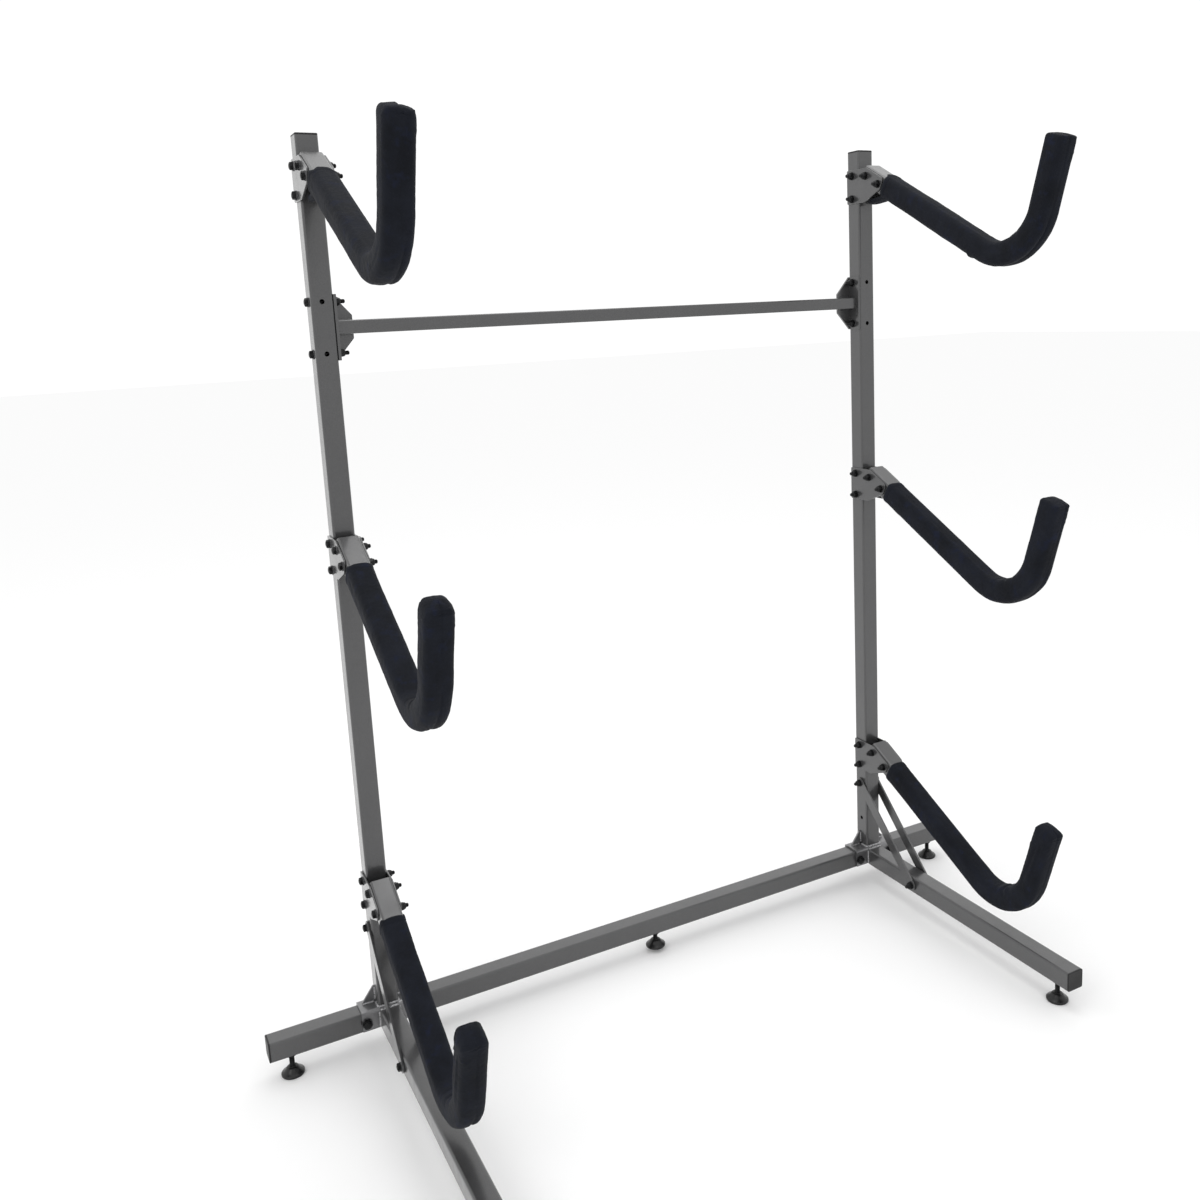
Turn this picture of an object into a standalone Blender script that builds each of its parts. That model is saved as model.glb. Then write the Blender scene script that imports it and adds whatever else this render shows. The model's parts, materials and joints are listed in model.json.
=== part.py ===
"""Boat rack: two posts on a bolted base, with three padded J arms on each post.

Metres, +Z up. +X runs along the crossbars and -Y points to the front, where the arms reach out.
The origin is on the floor, in the middle of the rack's box. "Forward" below means the distance in front of
the posts' centre line, towards -Y.
"""
import math

import bmesh
import bpy
from mathutils import Matrix, Vector

# Clearance left between two pieces that touch on the real rack
GAP = 0.0003
# Depth that a welded or moulded piece sinks into the one that carries it
WELD = 0.0005

# Main square tube: posts, lower crossbar, foot beams and arms
TUBE = 0.040
TUBE_WALL = 0.002
TUBE_CORNER = 0.004

# Slim square tube of the upper crossbar
SLIM_TUBE = 0.025
SLIM_WALL = 0.0015
SLIM_CORNER = 0.003

# Layout of the frame
POST_SPACING = 1.220
POST_HEAD = 0.041
BAR_UNDERSIDE = 0.047
STUB_LENGTH = 0.229
BEAM_LENGTH = 0.627

# Arms: where their axis meets the post's front face, and the bent tube's shape
BOTTOM_ARM_LEVEL = 0.364
ARM_PITCH = 0.675
ARM_SLOPE = math.radians(27.7)
ARM_LEAN = math.radians(17.0)
ARM_SETBACK = 0.021
ARM_CORNER = 0.547
ARM_RISE = 0.256
ARM_BEND = 0.105
ARM_BOLT_NEAR = 0.0316
ARM_BOLT_FAR = 0.0789

# Padded sleeves on the arms, which start a little in front of the bracket plates
PAD_WIDTH = 0.048
PAD_CORNER = 0.013
PAD_START = 0.006
PAD_TIP = 0.0055
PAD_TIP_ROUND = 0.009

# Bracket plates, one on each side of each arm
PLATE = 0.003
PLATE_REAR = 0.018
PLATE_TOP = 0.003
PLATE_DROP = 0.071
PLATE_FOOT = 0.042
PLATE_SHOULDER = 0.017
PLATE_REACH = 0.090
PLATE_CHIN = 0.008
PLATE_ROUND = 0.009
POST_BOLT_UPPER = 0.010
POST_BOLT_LOWER = 0.060

# Hexagon bolts and nuts of the arms, struts and upper crossbar (M8), and of the base (M10)
BOLT = 0.008
BOLT_HOLE = 0.009
HEX = 0.013
HEAD_HEIGHT = 0.0053
NUT_HEIGHT = 0.0068
THREAD_TIP = 0.005
BASE_BOLT = 0.010
BASE_BOLT_HOLE = 0.011
BASE_HEX = 0.017
BASE_HEAD_HEIGHT = 0.0064
BASE_NUT_HEIGHT = 0.0084

# Saddles, which join the posts and the foot beams to the lower crossbar
SADDLE_PLATE = 0.004
SADDLE_LENGTH = 0.110
SADDLE_DEPTH = 0.041
SADDLE_BEND = 0.005
SADDLE_BOLT_SPACING = 0.092
GUSSET_PLATE = 0.004
GUSSET_REACH = 0.026
GUSSET_RISE = 0.033
GUSSET_NOSE = 0.003
GUSSET_OFFSET = 0.007

# Upper crossbar, which hangs below the top arms, and the bent bracket at each of its ends
CROSSBAR_DROP = 0.291
END_PLATE = 0.005
END_HEIGHT = 0.118
END_BOLT_INSET = 0.01275
END_FRONT = 0.020
END_REAR = 0.018
END_LEG = 0.038
END_TIP = 0.041

# Struts from the posts, just below the bottom arms, to the foot beams
STRUT_WIDTH = 0.025
STRUT_PLATE = 0.004
STRUT_DROP = 0.1095
STRUT_FOOT = 0.188

# Spare hole low on the inner face of each post
SPARE_HOLE_LEVEL = 0.162

# Plastic end caps
CAP_PLATE = 0.003
CAP_EDGE = 0.001
CAP_PLUG = 0.013
CAP_WALL = 0.0015

# Levelling feet
FOOT_RADIUS = 0.022
FOOT_RIM = 0.0045
FOOT_EDGE = 0.0012
FOOT_NECK = 0.0095
FOOT_HEIGHT = 0.016
STUD = 0.010
STUD_HOLE = 0.0106
STUD_TOP = 0.0605
WELD_NUT = 0.017
WELD_NUT_HEIGHT = 0.008
STUB_FOOT_INSET = 0.039
BEAM_FOOT_INSET = 0.0426
MIDDLE_FOOT_LIFT = 0.009

# Counts of facets, and the angle below which an edge between two faces is shaded smooth
HOLE_SIDES = 8
FOOT_SIDES = 16
CORNER_STEPS = 3
BEND_STEPS = 6
FILLET_STEPS = 2
SMOOTH_ANGLE = math.radians(50)

# Places that follow from the sizes above
MIDDLE_ARM_LEVEL = BOTTOM_ARM_LEVEL + ARM_PITCH
TOP_ARM_LEVEL = MIDDLE_ARM_LEVEL + ARM_PITCH
POST_TOP = TOP_ARM_LEVEL + POST_HEAD
CROSSBAR_LEVEL = TOP_ARM_LEVEL - CROSSBAR_DROP
CROSSBAR_BOLT_SPACING = END_HEIGHT - 2 * END_BOLT_INSET
STRUT_TOP = BOTTOM_ARM_LEVEL - STRUT_DROP
POST_X = POST_SPACING / 2
BAR_LEVEL = BAR_UNDERSIDE + TUBE / 2
BAR_END = POST_X + STUB_LENGTH
SADDLE_INSIDE = TUBE / 2 + GAP
SADDLE_FACE = SADDLE_INSIDE + SADDLE_PLATE
SADDLE_TOP = BAR_LEVEL + SADDLE_FACE
POST_FOOT = SADDLE_TOP + GAP
BEAM_START = SADDLE_FACE + GAP
BEAM_END = BEAM_START + BEAM_LENGTH
ARM_TURN = ARM_SLOPE + math.pi / 2 - ARM_LEAN
ARM_STRAIGHT = ARM_CORNER - ARM_BEND * math.tan(ARM_TURN / 2)
ARM_ARC_END = ARM_STRAIGHT + ARM_BEND * ARM_TURN
ARM_END = ARM_ARC_END + ARM_RISE - ARM_BEND * math.tan(ARM_TURN / 2)
FRONT = BEAM_END + GAP + CAP_PLATE
REAR = SADDLE_FACE + GAP + BASE_NUT_HEIGHT + THREAD_TIP

SIDES = {"left": -1, "right": 1}
LEVELS = {"top": TOP_ARM_LEVEL, "middle": MIDDLE_ARM_LEVEL, "bottom": BOTTOM_ARM_LEVEL}

# Frames for shapes drawn in a local XY plane: their local Z becomes world +X, forward (-Y) or +Z
TO_RIGHT = Matrix(((0, 0, 1, 0), (1, 0, 0, 0), (0, 1, 0, 0), (0, 0, 0, 1)))
FORWARD = Matrix(((1, 0, 0, 0), (0, 0, -1, 0), (0, 1, 0, 0), (0, 0, 0, 1)))
UPWARD = Matrix.Identity(4)


def clear_scene():
    """Start from an empty scene."""
    for item in list(bpy.data.objects):
        bpy.data.objects.remove(item, do_unlink=True)


def principled(name, colour, roughness, metallic):
    """Material with one Principled BSDF."""
    material = bpy.data.materials.new(name)
    material.use_nodes = True
    shader = material.node_tree.nodes["Principled BSDF"]
    shader.inputs["Base Color"].default_value = (*colour, 1.0)
    shader.inputs["Roughness"].default_value = roughness
    shader.inputs["Metallic"].default_value = metallic
    material.diffuse_color = (*colour, 1.0)
    return material


class Solid:
    """One closed body, put together from loops of points."""

    def __init__(self):
        self.bm = bmesh.new()

    def loop(self, outline, frame=UPWARD, along=0.0):
        """Points of a flat outline, at a distance along the frame's Z."""
        return [self.bm.verts.new(frame @ Vector((p[0], p[1], along))) for p in outline]

    def wall(self, low, high):
        """Faces between two loops with as many points."""
        for i, corner in enumerate(low):
            j = (i + 1) % len(low)
            self.bm.faces.new((corner, low[j], high[j], high[i]))

    def walls(self, loops):
        """Faces between each loop and the next."""
        for low, high in zip(loops, loops[1:]):
            self.wall(low, high)

    def cap(self, loop):
        """Flat face on a loop."""
        self.bm.faces.new(loop)

    def fill(self, *loops):
        """Flat face inside the first loop and outside the others."""
        edges = []
        for loop in loops:
            for i, corner in enumerate(loop):
                pair = (corner, loop[(i + 1) % len(loop)])
                edges.append(self.bm.edges.get(pair) or self.bm.edges.new(pair))
        bmesh.ops.triangle_fill(self.bm, use_beauty=True, edges=edges)

    def mesh(self, name, smooth=False):
        """Finish the body with its faces pointing out."""
        bmesh.ops.recalc_face_normals(self.bm, faces=self.bm.faces)
        mesh = bpy.data.meshes.new(name)
        self.bm.to_mesh(mesh)
        self.bm.free()
        if smooth:
            mesh.shade_smooth()
            mesh.set_sharp_from_angle(angle=SMOOTH_ANGLE)
        return mesh


def rounded_square(size, corner):
    """Square with rounded corners, counter-clockwise."""
    inset = size / 2 - corner
    outline = []
    for quarter in range(4):
        turn = Matrix.Rotation(quarter * math.pi / 2, 2)
        for step in range(CORNER_STEPS + 1):
            angle = step / CORNER_STEPS * math.pi / 2
            outline.append(turn @ Vector((inset + corner * math.cos(angle), inset + corner * math.sin(angle))))
    return outline


def square(size):
    """Square with sharp corners, counter-clockwise."""
    half = size / 2
    return [Vector((half, half)), Vector((-half, half)), Vector((-half, -half)), Vector((half, -half))]


def polygon(radius, sides, centre=(0.0, 0.0)):
    """Regular polygon with its corners on a circle."""
    turns = [2 * math.pi * (i + 0.5) / sides for i in range(sides)]
    return [Vector((centre[0] + radius * math.cos(t), centre[1] + radius * math.sin(t))) for t in turns]


def hexagon(across, centre=(0.0, 0.0)):
    """Hexagon from its size across the flats."""
    return polygon(across / 2 / math.cos(math.pi / 6), 6, centre)


def drilled(diameter, centre=(0.0, 0.0)):
    """Polygon whose flats touch the round hole, so that the hole is never too small."""
    return polygon(diameter / 2 / math.cos(math.pi / HOLE_SIDES), HOLE_SIDES, centre)


def shank(diameter, centre=(0.0, 0.0)):
    """Polygon inside a round shank."""
    return polygon(diameter / 2, HOLE_SIDES, centre)


def filleted(corners):
    """Outline whose corners, given as (point, radius), are rounded."""
    outline = []
    for i, (corner, radius) in enumerate(corners):
        before = (corners[i - 1][0] - corner).normalized()
        after = (corners[(i + 1) % len(corners)][0] - corner).normalized()
        half = before.angle(after) / 2
        centre = corner + (before + after).normalized() * (radius / math.sin(half))
        first = corner + before * (radius / math.tan(half)) - centre
        last = corner + after * (radius / math.tan(half)) - centre
        sweep = math.pi - 2 * half
        for step in range(FILLET_STEPS + 1):
            share = step / FILLET_STEPS
            arm = first * math.sin((1 - share) * sweep) + last * math.sin(share * sweep)
            outline.append(centre + arm / math.sin(sweep))
    return outline


def prism(outline, frame, low, high):
    """Outline extruded along its frame's Z, as a mesh."""
    body = Solid()
    start = body.loop(outline, frame, low)
    end = body.loop(outline, frame, high)
    body.wall(start, end)
    body.cap(start)
    body.cap(end)
    return body.mesh("prism")


def stacked(sections, frame):
    """Body of extruded outlines, one on top of the other, each given as (outline, low, high)."""
    body = Solid()
    below = None
    for outline, low, high in sections:
        start = body.loop(outline, frame, low)
        end = body.loop(outline, frame, high)
        body.wall(start, end)
        if below is None:
            body.cap(start)
        else:
            body.fill(below, start)
        below = end
    body.cap(below)
    return body.mesh("stacked", smooth=True)


def tube(outside, inside, frames):
    """Hollow tube, open at both ends, through a row of frames."""
    body = Solid()
    outer = [body.loop(outside, frame) for frame in frames]
    inner = [body.loop(inside, frame) for frame in frames]
    body.walls(outer)
    body.walls(inner)
    body.fill(outer[0], inner[0])
    body.fill(outer[-1], inner[-1])
    return body.mesh("tube", smooth=True)


def straight_tube(size, wall, corner, frame, low, high):
    """Square tube along its frame's Z."""
    frames = [frame @ Matrix.Translation((0, 0, low)), frame @ Matrix.Translation((0, 0, high))]
    return tube(rounded_square(size, corner), square(size - 2 * wall), frames)


def gathered(pieces):
    """Several meshes, each given as (mesh, matrix), as one mesh."""
    bm = bmesh.new()
    for piece, matrix in pieces:
        moved = piece.copy()
        moved.transform(matrix)
        bm.from_mesh(moved)
    mesh = bpy.data.meshes.new("gathered")
    bm.to_mesh(mesh)
    bm.free()
    return mesh


def boolean(mesh, tool, operation):
    """Mesh after one Boolean with another mesh."""
    body = bpy.data.objects.new("boolean_body", mesh)
    other = bpy.data.objects.new("boolean_tool", tool)
    bpy.context.scene.collection.objects.link(body)
    bpy.context.scene.collection.objects.link(other)
    modifier = body.modifiers.new("boolean", "BOOLEAN")
    modifier.operation = operation
    modifier.object = other
    depsgraph = bpy.context.evaluated_depsgraph_get()
    result = bpy.data.meshes.new_from_object(body.evaluated_get(depsgraph))
    bpy.data.objects.remove(body)
    bpy.data.objects.remove(other)
    return result


def holes(diameter, frame, places, low, high):
    """Cutter with one drill for each place in the frame's XY plane."""
    drills = [(prism(drilled(diameter, place), frame, low, high), UPWARD) for place in places]
    return gathered(drills)


def bolt_with_nut(diameter, across, head_height, nut_height, grip):
    """Hexagon bolt along +Z with its nut; the clamped pieces lie from 0 to the grip."""
    nut_start = grip + GAP
    nut_end = nut_start + nut_height
    sections = [
        (hexagon(across), -GAP - head_height, -GAP),
        (shank(diameter), -GAP, nut_start),
        (hexagon(across), nut_start, nut_end),
        (shank(diameter), nut_end, nut_end + THREAD_TIP),
    ]
    return stacked(sections, UPWARD)


def arm_frame(length):
    """Frame on an arm's centre line: Y to the inside of the bend, Z along the tube.

    The length is measured from the post's front face, in the arm's own frame: forward from the post's
    centre line and up from the arm's level.
    """
    turned = min(max(length - ARM_STRAIGHT, 0.0) / ARM_BEND, ARM_TURN)
    slope = Vector((math.cos(ARM_SLOPE), -math.sin(ARM_SLOPE)))
    along = Matrix.Rotation(turned, 2) @ slope
    inside = Vector((-along.y, along.x))
    centre = Vector((TUBE / 2, 0)) + slope * ARM_STRAIGHT + Vector((-slope.y, slope.x)) * ARM_BEND
    past = min(length - ARM_STRAIGHT, 0.0) + max(length - ARM_ARC_END, 0.0)
    place = centre - inside * ARM_BEND + along * past
    return Matrix((
        (1, 0, 0, 0),
        (0, -inside.x, -along.x, -place.x),
        (0, inside.y, along.y, place.y),
        (0, 0, 0, 1),
    ))


def arm_plane(length, inward):
    """Point beside the arm's straight stretch, as (forward, up) from the post's centre at the arm's level."""
    point = arm_frame(length) @ Vector((0, inward, 0))
    return Vector((-point.y, point.z))


def bend_lengths():
    """Lengths along an arm at which its tube and sleeve bend, from the first facet to the last."""
    return [ARM_STRAIGHT + ARM_BEND * ARM_TURN * i / BEND_STEPS for i in range(BEND_STEPS + 1)]


def bolt_places():
    """The four bolts of an arm's bracket, as (forward, up)."""
    post = [Vector((0, -POST_BOLT_UPPER)), Vector((0, -POST_BOLT_LOWER))]
    return post + [arm_plane(ARM_BOLT_NEAR, 0), arm_plane(ARM_BOLT_FAR, 0)]


def arm_mesh():
    """Bent square tube of one arm, drilled for its two bolts."""
    frames = [arm_frame(length) for length in (ARM_SETBACK, *bend_lengths(), ARM_END)]
    bent = tube(rounded_square(TUBE, TUBE_CORNER), square(TUBE - 2 * TUBE_WALL), frames)
    places = [(-p.x, p.y) for p in bolt_places()[2:]]
    return boolean(bent, holes(BOLT_HOLE, TO_RIGHT, places, -TUBE, TUBE), "DIFFERENCE")


def pad_mesh():
    """Padded sleeve of one arm: open mouth near the bracket, closed and rounded tip."""
    body = Solid()
    outside = rounded_square(PAD_WIDTH, PAD_CORNER)
    inside = rounded_square(TUBE + 2 * GAP, TUBE_CORNER + GAP)
    cavity_end = ARM_END + GAP
    tip = cavity_end + PAD_TIP
    lengths = [PLATE_REACH + PAD_START, *bend_lengths()]
    outer = [body.loop(outside, arm_frame(length)) for length in lengths]
    inner = [body.loop(inside, arm_frame(length)) for length in (*lengths, cavity_end)]
    for step in range(CORNER_STEPS + 1):
        angle = step / CORNER_STEPS * math.pi / 2
        drawn_in = PAD_TIP_ROUND * (1 - math.cos(angle))
        length = tip - PAD_TIP_ROUND * (1 - math.sin(angle))
        ring = rounded_square(PAD_WIDTH - 2 * drawn_in, PAD_CORNER - drawn_in)
        outer.append(body.loop(ring, arm_frame(length)))
    body.walls(outer)
    body.walls(inner)
    body.wall(outer[0], inner[0])
    body.cap(outer[-1])
    body.cap(inner[-1])
    return body.mesh("pad", smooth=True)


def plate_outline():
    """Outline of a bracket plate, as (forward, up)."""
    shoulder_turn = (arm_plane(0, PLATE_SHOULDER).y - PLATE_TOP) / math.sin(ARM_SLOPE)
    corners = [
        (Vector((-PLATE_REAR, -PLATE_DROP)), PLATE),
        (Vector((PLATE_FOOT, -PLATE_DROP)), PLATE_ROUND),
        (arm_plane(PLATE_REACH, -PLATE_CHIN), PLATE_ROUND),
        (arm_plane(PLATE_REACH, PLATE_SHOULDER), PLATE_ROUND),
        (arm_plane(shoulder_turn, PLATE_SHOULDER), PLATE_ROUND),
        (Vector((-PLATE_REAR, PLATE_TOP)), PLATE),
    ]
    return filleted(corners)


def bracket_mesh(outward, carries_bolts):
    """Bracket plate beside an arm, with the four bolts or the four nuts that it is clamped by.

    outward is +1 for the plate on the post's +X face and -1 for the one on its -X face. The plate with the
    bolts carries their heads and shanks, and the other one carries their nuts.
    """
    frame = Matrix.Diagonal((outward, 1, 1, 1)) @ TO_RIGHT @ Matrix.Diagonal((-1, 1, 1, 1))
    inner_face = TUBE / 2 + GAP
    outer_face = inner_face + PLATE
    body = Solid()
    outline = plate_outline()
    near = body.loop(outline, frame, inner_face)
    far = body.loop(outline, frame, outer_face)
    body.wall(near, far)
    near_holes = []
    far_holes = []
    for place in bolt_places():
        if carries_bolts:
            round_near = body.loop(shank(BOLT, place), frame, inner_face)
            end = body.loop(shank(BOLT, place), frame, -outer_face - NUT_HEIGHT - THREAD_TIP)
            body.cap(end)
            height = HEAD_HEIGHT
        else:
            round_near = body.loop(drilled(BOLT_HOLE, place), frame, inner_face)
            end = body.loop(drilled(BOLT_HOLE, place), frame, outer_face + NUT_HEIGHT)
            height = NUT_HEIGHT
        body.wall(round_near, end)
        hex_base = body.loop(hexagon(HEX, place), frame, outer_face)
        hex_top = body.loop(hexagon(HEX, place), frame, outer_face + height)
        body.wall(hex_base, hex_top)
        if carries_bolts:
            body.cap(hex_top)
        else:
            body.fill(hex_top, end)
        near_holes.append(round_near)
        far_holes.append(hex_base)
    body.fill(near, *near_holes)
    body.fill(far, *far_holes)
    return body.mesh("bracket")


def upright_mesh(side):
    """Post, drilled for its arms, strut, upper crossbar and spare holes. side is -1 or +1."""
    post = straight_tube(TUBE, TUBE_WALL, TUBE_CORNER, UPWARD, POST_FOOT, POST_TOP)
    crossbar = [CROSSBAR_LEVEL + half * CROSSBAR_BOLT_SPACING / 2 for half in (-1, 1)]
    arms = [level - drop for level in LEVELS.values() for drop in (POST_BOLT_UPPER, POST_BOLT_LOWER)]
    through = [(0, level) for level in (*arms, *crossbar, STRUT_TOP)]
    inward = (0, TUBE) if side < 0 else (-TUBE, 0)
    cutter = gathered([
        (holes(BOLT_HOLE, TO_RIGHT, through, -TUBE, TUBE), UPWARD),
        (holes(BOLT_HOLE, TO_RIGHT, [(0, SPARE_HOLE_LEVEL)], *inward), UPWARD),
        (holes(BOLT_HOLE, FORWARD, [(0, level) for level in crossbar], -TUBE, TUBE), UPWARD),
    ])
    return boolean(post, cutter, "DIFFERENCE")


def with_stud_nuts(mesh, places):
    """Tube with hexagonal weld nuts below it at (x, y) places, bored with it for the feet's studs."""
    base = BAR_UNDERSIDE - WELD_NUT_HEIGHT
    top = BAR_UNDERSIDE + WELD
    nuts = gathered([(prism(hexagon(WELD_NUT, place), UPWARD, base, top), UPWARD) for place in places])
    bores = holes(STUD_HOLE, UPWARD, places, base - GAP, BAR_LEVEL)
    return boolean(boolean(mesh, nuts, "UNION"), bores, "DIFFERENCE")


def foot_places():
    """Where the levelling feet stand, as name: (x, y)."""
    places = {"middle_foot": (0.0, 0.0)}
    for side, sign in SIDES.items():
        places[side + "_stub_foot"] = (sign * (BAR_END - STUB_FOOT_INSET), 0.0)
        places[side + "_beam_foot"] = (sign * POST_X, -(BEAM_END - BEAM_FOOT_INSET))
    return places


def base_bolt_places():
    """Distances of the base bolts from the middle of the rack, by name."""
    places = {}
    for side, sign in SIDES.items():
        places[side + "_base_bolt_outer"] = sign * (POST_X + SADDLE_BOLT_SPACING / 2)
        places[side + "_base_bolt_inner"] = sign * (POST_X - SADDLE_BOLT_SPACING / 2)
    return places


def lower_crossbar_mesh():
    """Lower crossbar, drilled for the base bolts, with the weld nuts of three feet."""
    bar = straight_tube(TUBE, TUBE_WALL, TUBE_CORNER, TO_RIGHT, -BAR_END, BAR_END)
    bar.transform(Matrix.Translation((0, 0, BAR_LEVEL)))
    feet = [place for place in foot_places().values() if place[1] == 0]
    bolts = [(x, BAR_LEVEL) for x in base_bolt_places().values()]
    welded = with_stud_nuts(bar, feet)
    return boolean(welded, holes(BASE_BOLT_HOLE, FORWARD, bolts, -TUBE, TUBE), "DIFFERENCE")


def foot_beam_mesh():
    """Foot beam in front of a post, drilled for the strut bolt, with the weld nut of its foot."""
    beam = straight_tube(TUBE, TUBE_WALL, TUBE_CORNER, FORWARD, BEAM_START, BEAM_END)
    beam.transform(Matrix.Translation((0, 0, BAR_LEVEL)))
    welded = with_stud_nuts(beam, [(0, -(BEAM_END - BEAM_FOOT_INSET))])
    return boolean(welded, holes(BOLT_HOLE, TO_RIGHT, [(-STRUT_FOOT, BAR_LEVEL)], -TUBE, TUBE), "DIFFERENCE")


def saddle_mesh():
    """Bent plate over the lower crossbar, with a gusset on each side of the post."""
    low = SADDLE_TOP - SADDLE_DEPTH
    inside_top = SADDLE_TOP - SADDLE_PLATE
    inside_bend = SADDLE_BEND - SADDLE_PLATE
    sharp = GAP
    profile = filleted([
        (Vector((SADDLE_FACE, low)), sharp),
        (Vector((SADDLE_FACE, SADDLE_TOP)), SADDLE_BEND),
        (Vector((-SADDLE_FACE, SADDLE_TOP)), SADDLE_BEND),
        (Vector((-SADDLE_FACE, low)), sharp),
        (Vector((-SADDLE_INSIDE, low)), sharp),
        (Vector((-SADDLE_INSIDE, inside_top)), inside_bend),
        (Vector((SADDLE_INSIDE, inside_top)), inside_bend),
        (Vector((SADDLE_INSIDE, low)), sharp),
    ])
    plate = prism(profile, TO_RIGHT, -SADDLE_LENGTH / 2, SADDLE_LENGTH / 2)
    start = TUBE / 2 + GAP
    gusset = [
        Vector((start, SADDLE_TOP - WELD)),
        Vector((start + GUSSET_REACH, SADDLE_TOP - WELD)),
        Vector((start + GUSSET_REACH, SADDLE_TOP + GUSSET_NOSE)),
        Vector((start + GUSSET_NOSE, SADDLE_TOP + GUSSET_RISE)),
        Vector((start, SADDLE_TOP + GUSSET_RISE)),
    ]
    front = -GUSSET_OFFSET - GUSSET_PLATE / 2
    right = prism(gusset, FORWARD, front, front + GUSSET_PLATE)
    left = prism([Vector((-p.x, p.y)) for p in gusset], FORWARD, front, front + GUSSET_PLATE)
    welded = boolean(plate, gathered([(right, UPWARD), (left, UPWARD)]), "UNION")
    bolts = [(side * SADDLE_BOLT_SPACING / 2, BAR_LEVEL) for side in (-1, 1)]
    return boolean(welded, holes(BASE_BOLT_HOLE, FORWARD, bolts, -TUBE, TUBE), "DIFFERENCE")


def end_bracket_mesh():
    """Bent bracket between the upper crossbar and the left post, from the post's centre line."""
    face = TUBE / 2 + GAP
    folded = [
        Vector((face, -END_FRONT)),
        Vector((face + END_PLATE, -END_FRONT)),
        Vector((face + END_PLATE, END_REAR - END_PLATE)),
        Vector((face + END_LEG, END_REAR - END_PLATE)),
        Vector((face + END_LEG, END_REAR)),
        Vector((face, END_REAR)),
    ]
    angle = prism(folded, UPWARD, -END_HEIGHT / 2, END_HEIGHT / 2)
    past = face - END_PLATE
    trim = [
        Vector((past, -END_HEIGHT)),
        Vector((face + END_PLATE, -END_HEIGHT)),
        Vector((face + END_PLATE, -END_HEIGHT / 2)),
        Vector((face + END_LEG + WELD, -END_TIP / 2)),
        Vector((face + END_LEG + WELD, END_TIP / 2)),
        Vector((face + END_PLATE, END_HEIGHT / 2)),
        Vector((face + END_PLATE, END_HEIGHT)),
        Vector((past, END_HEIGHT)),
    ]
    shaped = boolean(angle, prism(trim, FORWARD, -TUBE, TUBE), "INTERSECT")
    bolts = [(0, side * CROSSBAR_BOLT_SPACING / 2) for side in (-1, 1)]
    return boolean(shaped, holes(BOLT_HOLE, TO_RIGHT, bolts, 0, TUBE), "DIFFERENCE")


def upper_crossbar_mesh():
    """Slim tube between the posts, welded to a bent bracket at each end."""
    end = POST_X - TUBE / 2 - GAP - END_PLATE - GAP
    bar = straight_tube(SLIM_TUBE, SLIM_WALL, SLIM_CORNER, TO_RIGHT, -end, end)
    bar.transform(Matrix.Translation((0, END_REAR - END_PLATE + WELD - SLIM_TUBE / 2, 0)))
    left = end_bracket_mesh()
    left.transform(Matrix.Translation((-POST_X, 0, 0)))
    right = left.copy()
    right.transform(Matrix.Diagonal((-1, 1, 1, 1)))
    right.flip_normals()
    return boolean(bar, gathered([(left, UPWARD), (right, UPWARD)]), "UNION")


def strut_mesh(outward):
    """Flat bar with round ends from a post to its foot beam, on the side that outward names."""
    top = Vector((0, STRUT_TOP))
    foot = Vector((-STRUT_FOOT, BAR_LEVEL))
    heading = math.atan2(top.y - foot.y, top.x - foot.x)
    half = STRUT_WIDTH / 2
    outline = []
    for centre, start in ((top, heading - math.pi / 2), (foot, heading + math.pi / 2)):
        for step in range(2 * CORNER_STEPS + 1):
            angle = start + math.pi * step / (2 * CORNER_STEPS)
            outline.append(centre + half * Vector((math.cos(angle), math.sin(angle))))
    frame = Matrix.Diagonal((outward, 1, 1, 1)) @ TO_RIGHT
    near = TUBE / 2 + GAP
    body = Solid()
    loops = []
    for along in (near, near + STRUT_PLATE):
        rim = body.loop(outline, frame, along)
        drills = [body.loop(drilled(BOLT_HOLE, centre), frame, along) for centre in (top, foot)]
        body.fill(rim, *drills)
        loops.append((rim, *drills))
    for low, high in zip(*loops):
        body.wall(low, high)
    return body.mesh("strut")


def cap_mesh():
    """End cap of a main tube: a plate over the end, which lies at 0, and a hollow plug inside it."""
    plug = TUBE - 2 * TUBE_WALL - 2 * GAP
    body = Solid()
    plug_end = body.loop(square(plug), UPWARD, -CAP_PLUG)
    plug_root = body.loop(square(plug), UPWARD, GAP)
    plate_base = body.loop(rounded_square(TUBE, TUBE_CORNER), UPWARD, GAP)
    plate_rim = body.loop(rounded_square(TUBE, TUBE_CORNER), UPWARD, GAP + CAP_PLATE - CAP_EDGE)
    top_outline = rounded_square(TUBE - 2 * CAP_EDGE, TUBE_CORNER - CAP_EDGE)
    plate_top = body.loop(top_outline, UPWARD, GAP + CAP_PLATE)
    hollow_end = body.loop(square(plug - 2 * CAP_WALL), UPWARD, -CAP_PLUG)
    hollow_root = body.loop(square(plug - 2 * CAP_WALL), UPWARD, GAP)
    body.wall(plug_end, plug_root)
    body.fill(plate_base, plug_root)
    body.walls([plate_base, plate_rim, plate_top])
    body.cap(plate_top)
    body.fill(plug_end, hollow_end)
    body.wall(hollow_end, hollow_root)
    body.cap(hollow_root)
    return body.mesh("cap")


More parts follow.
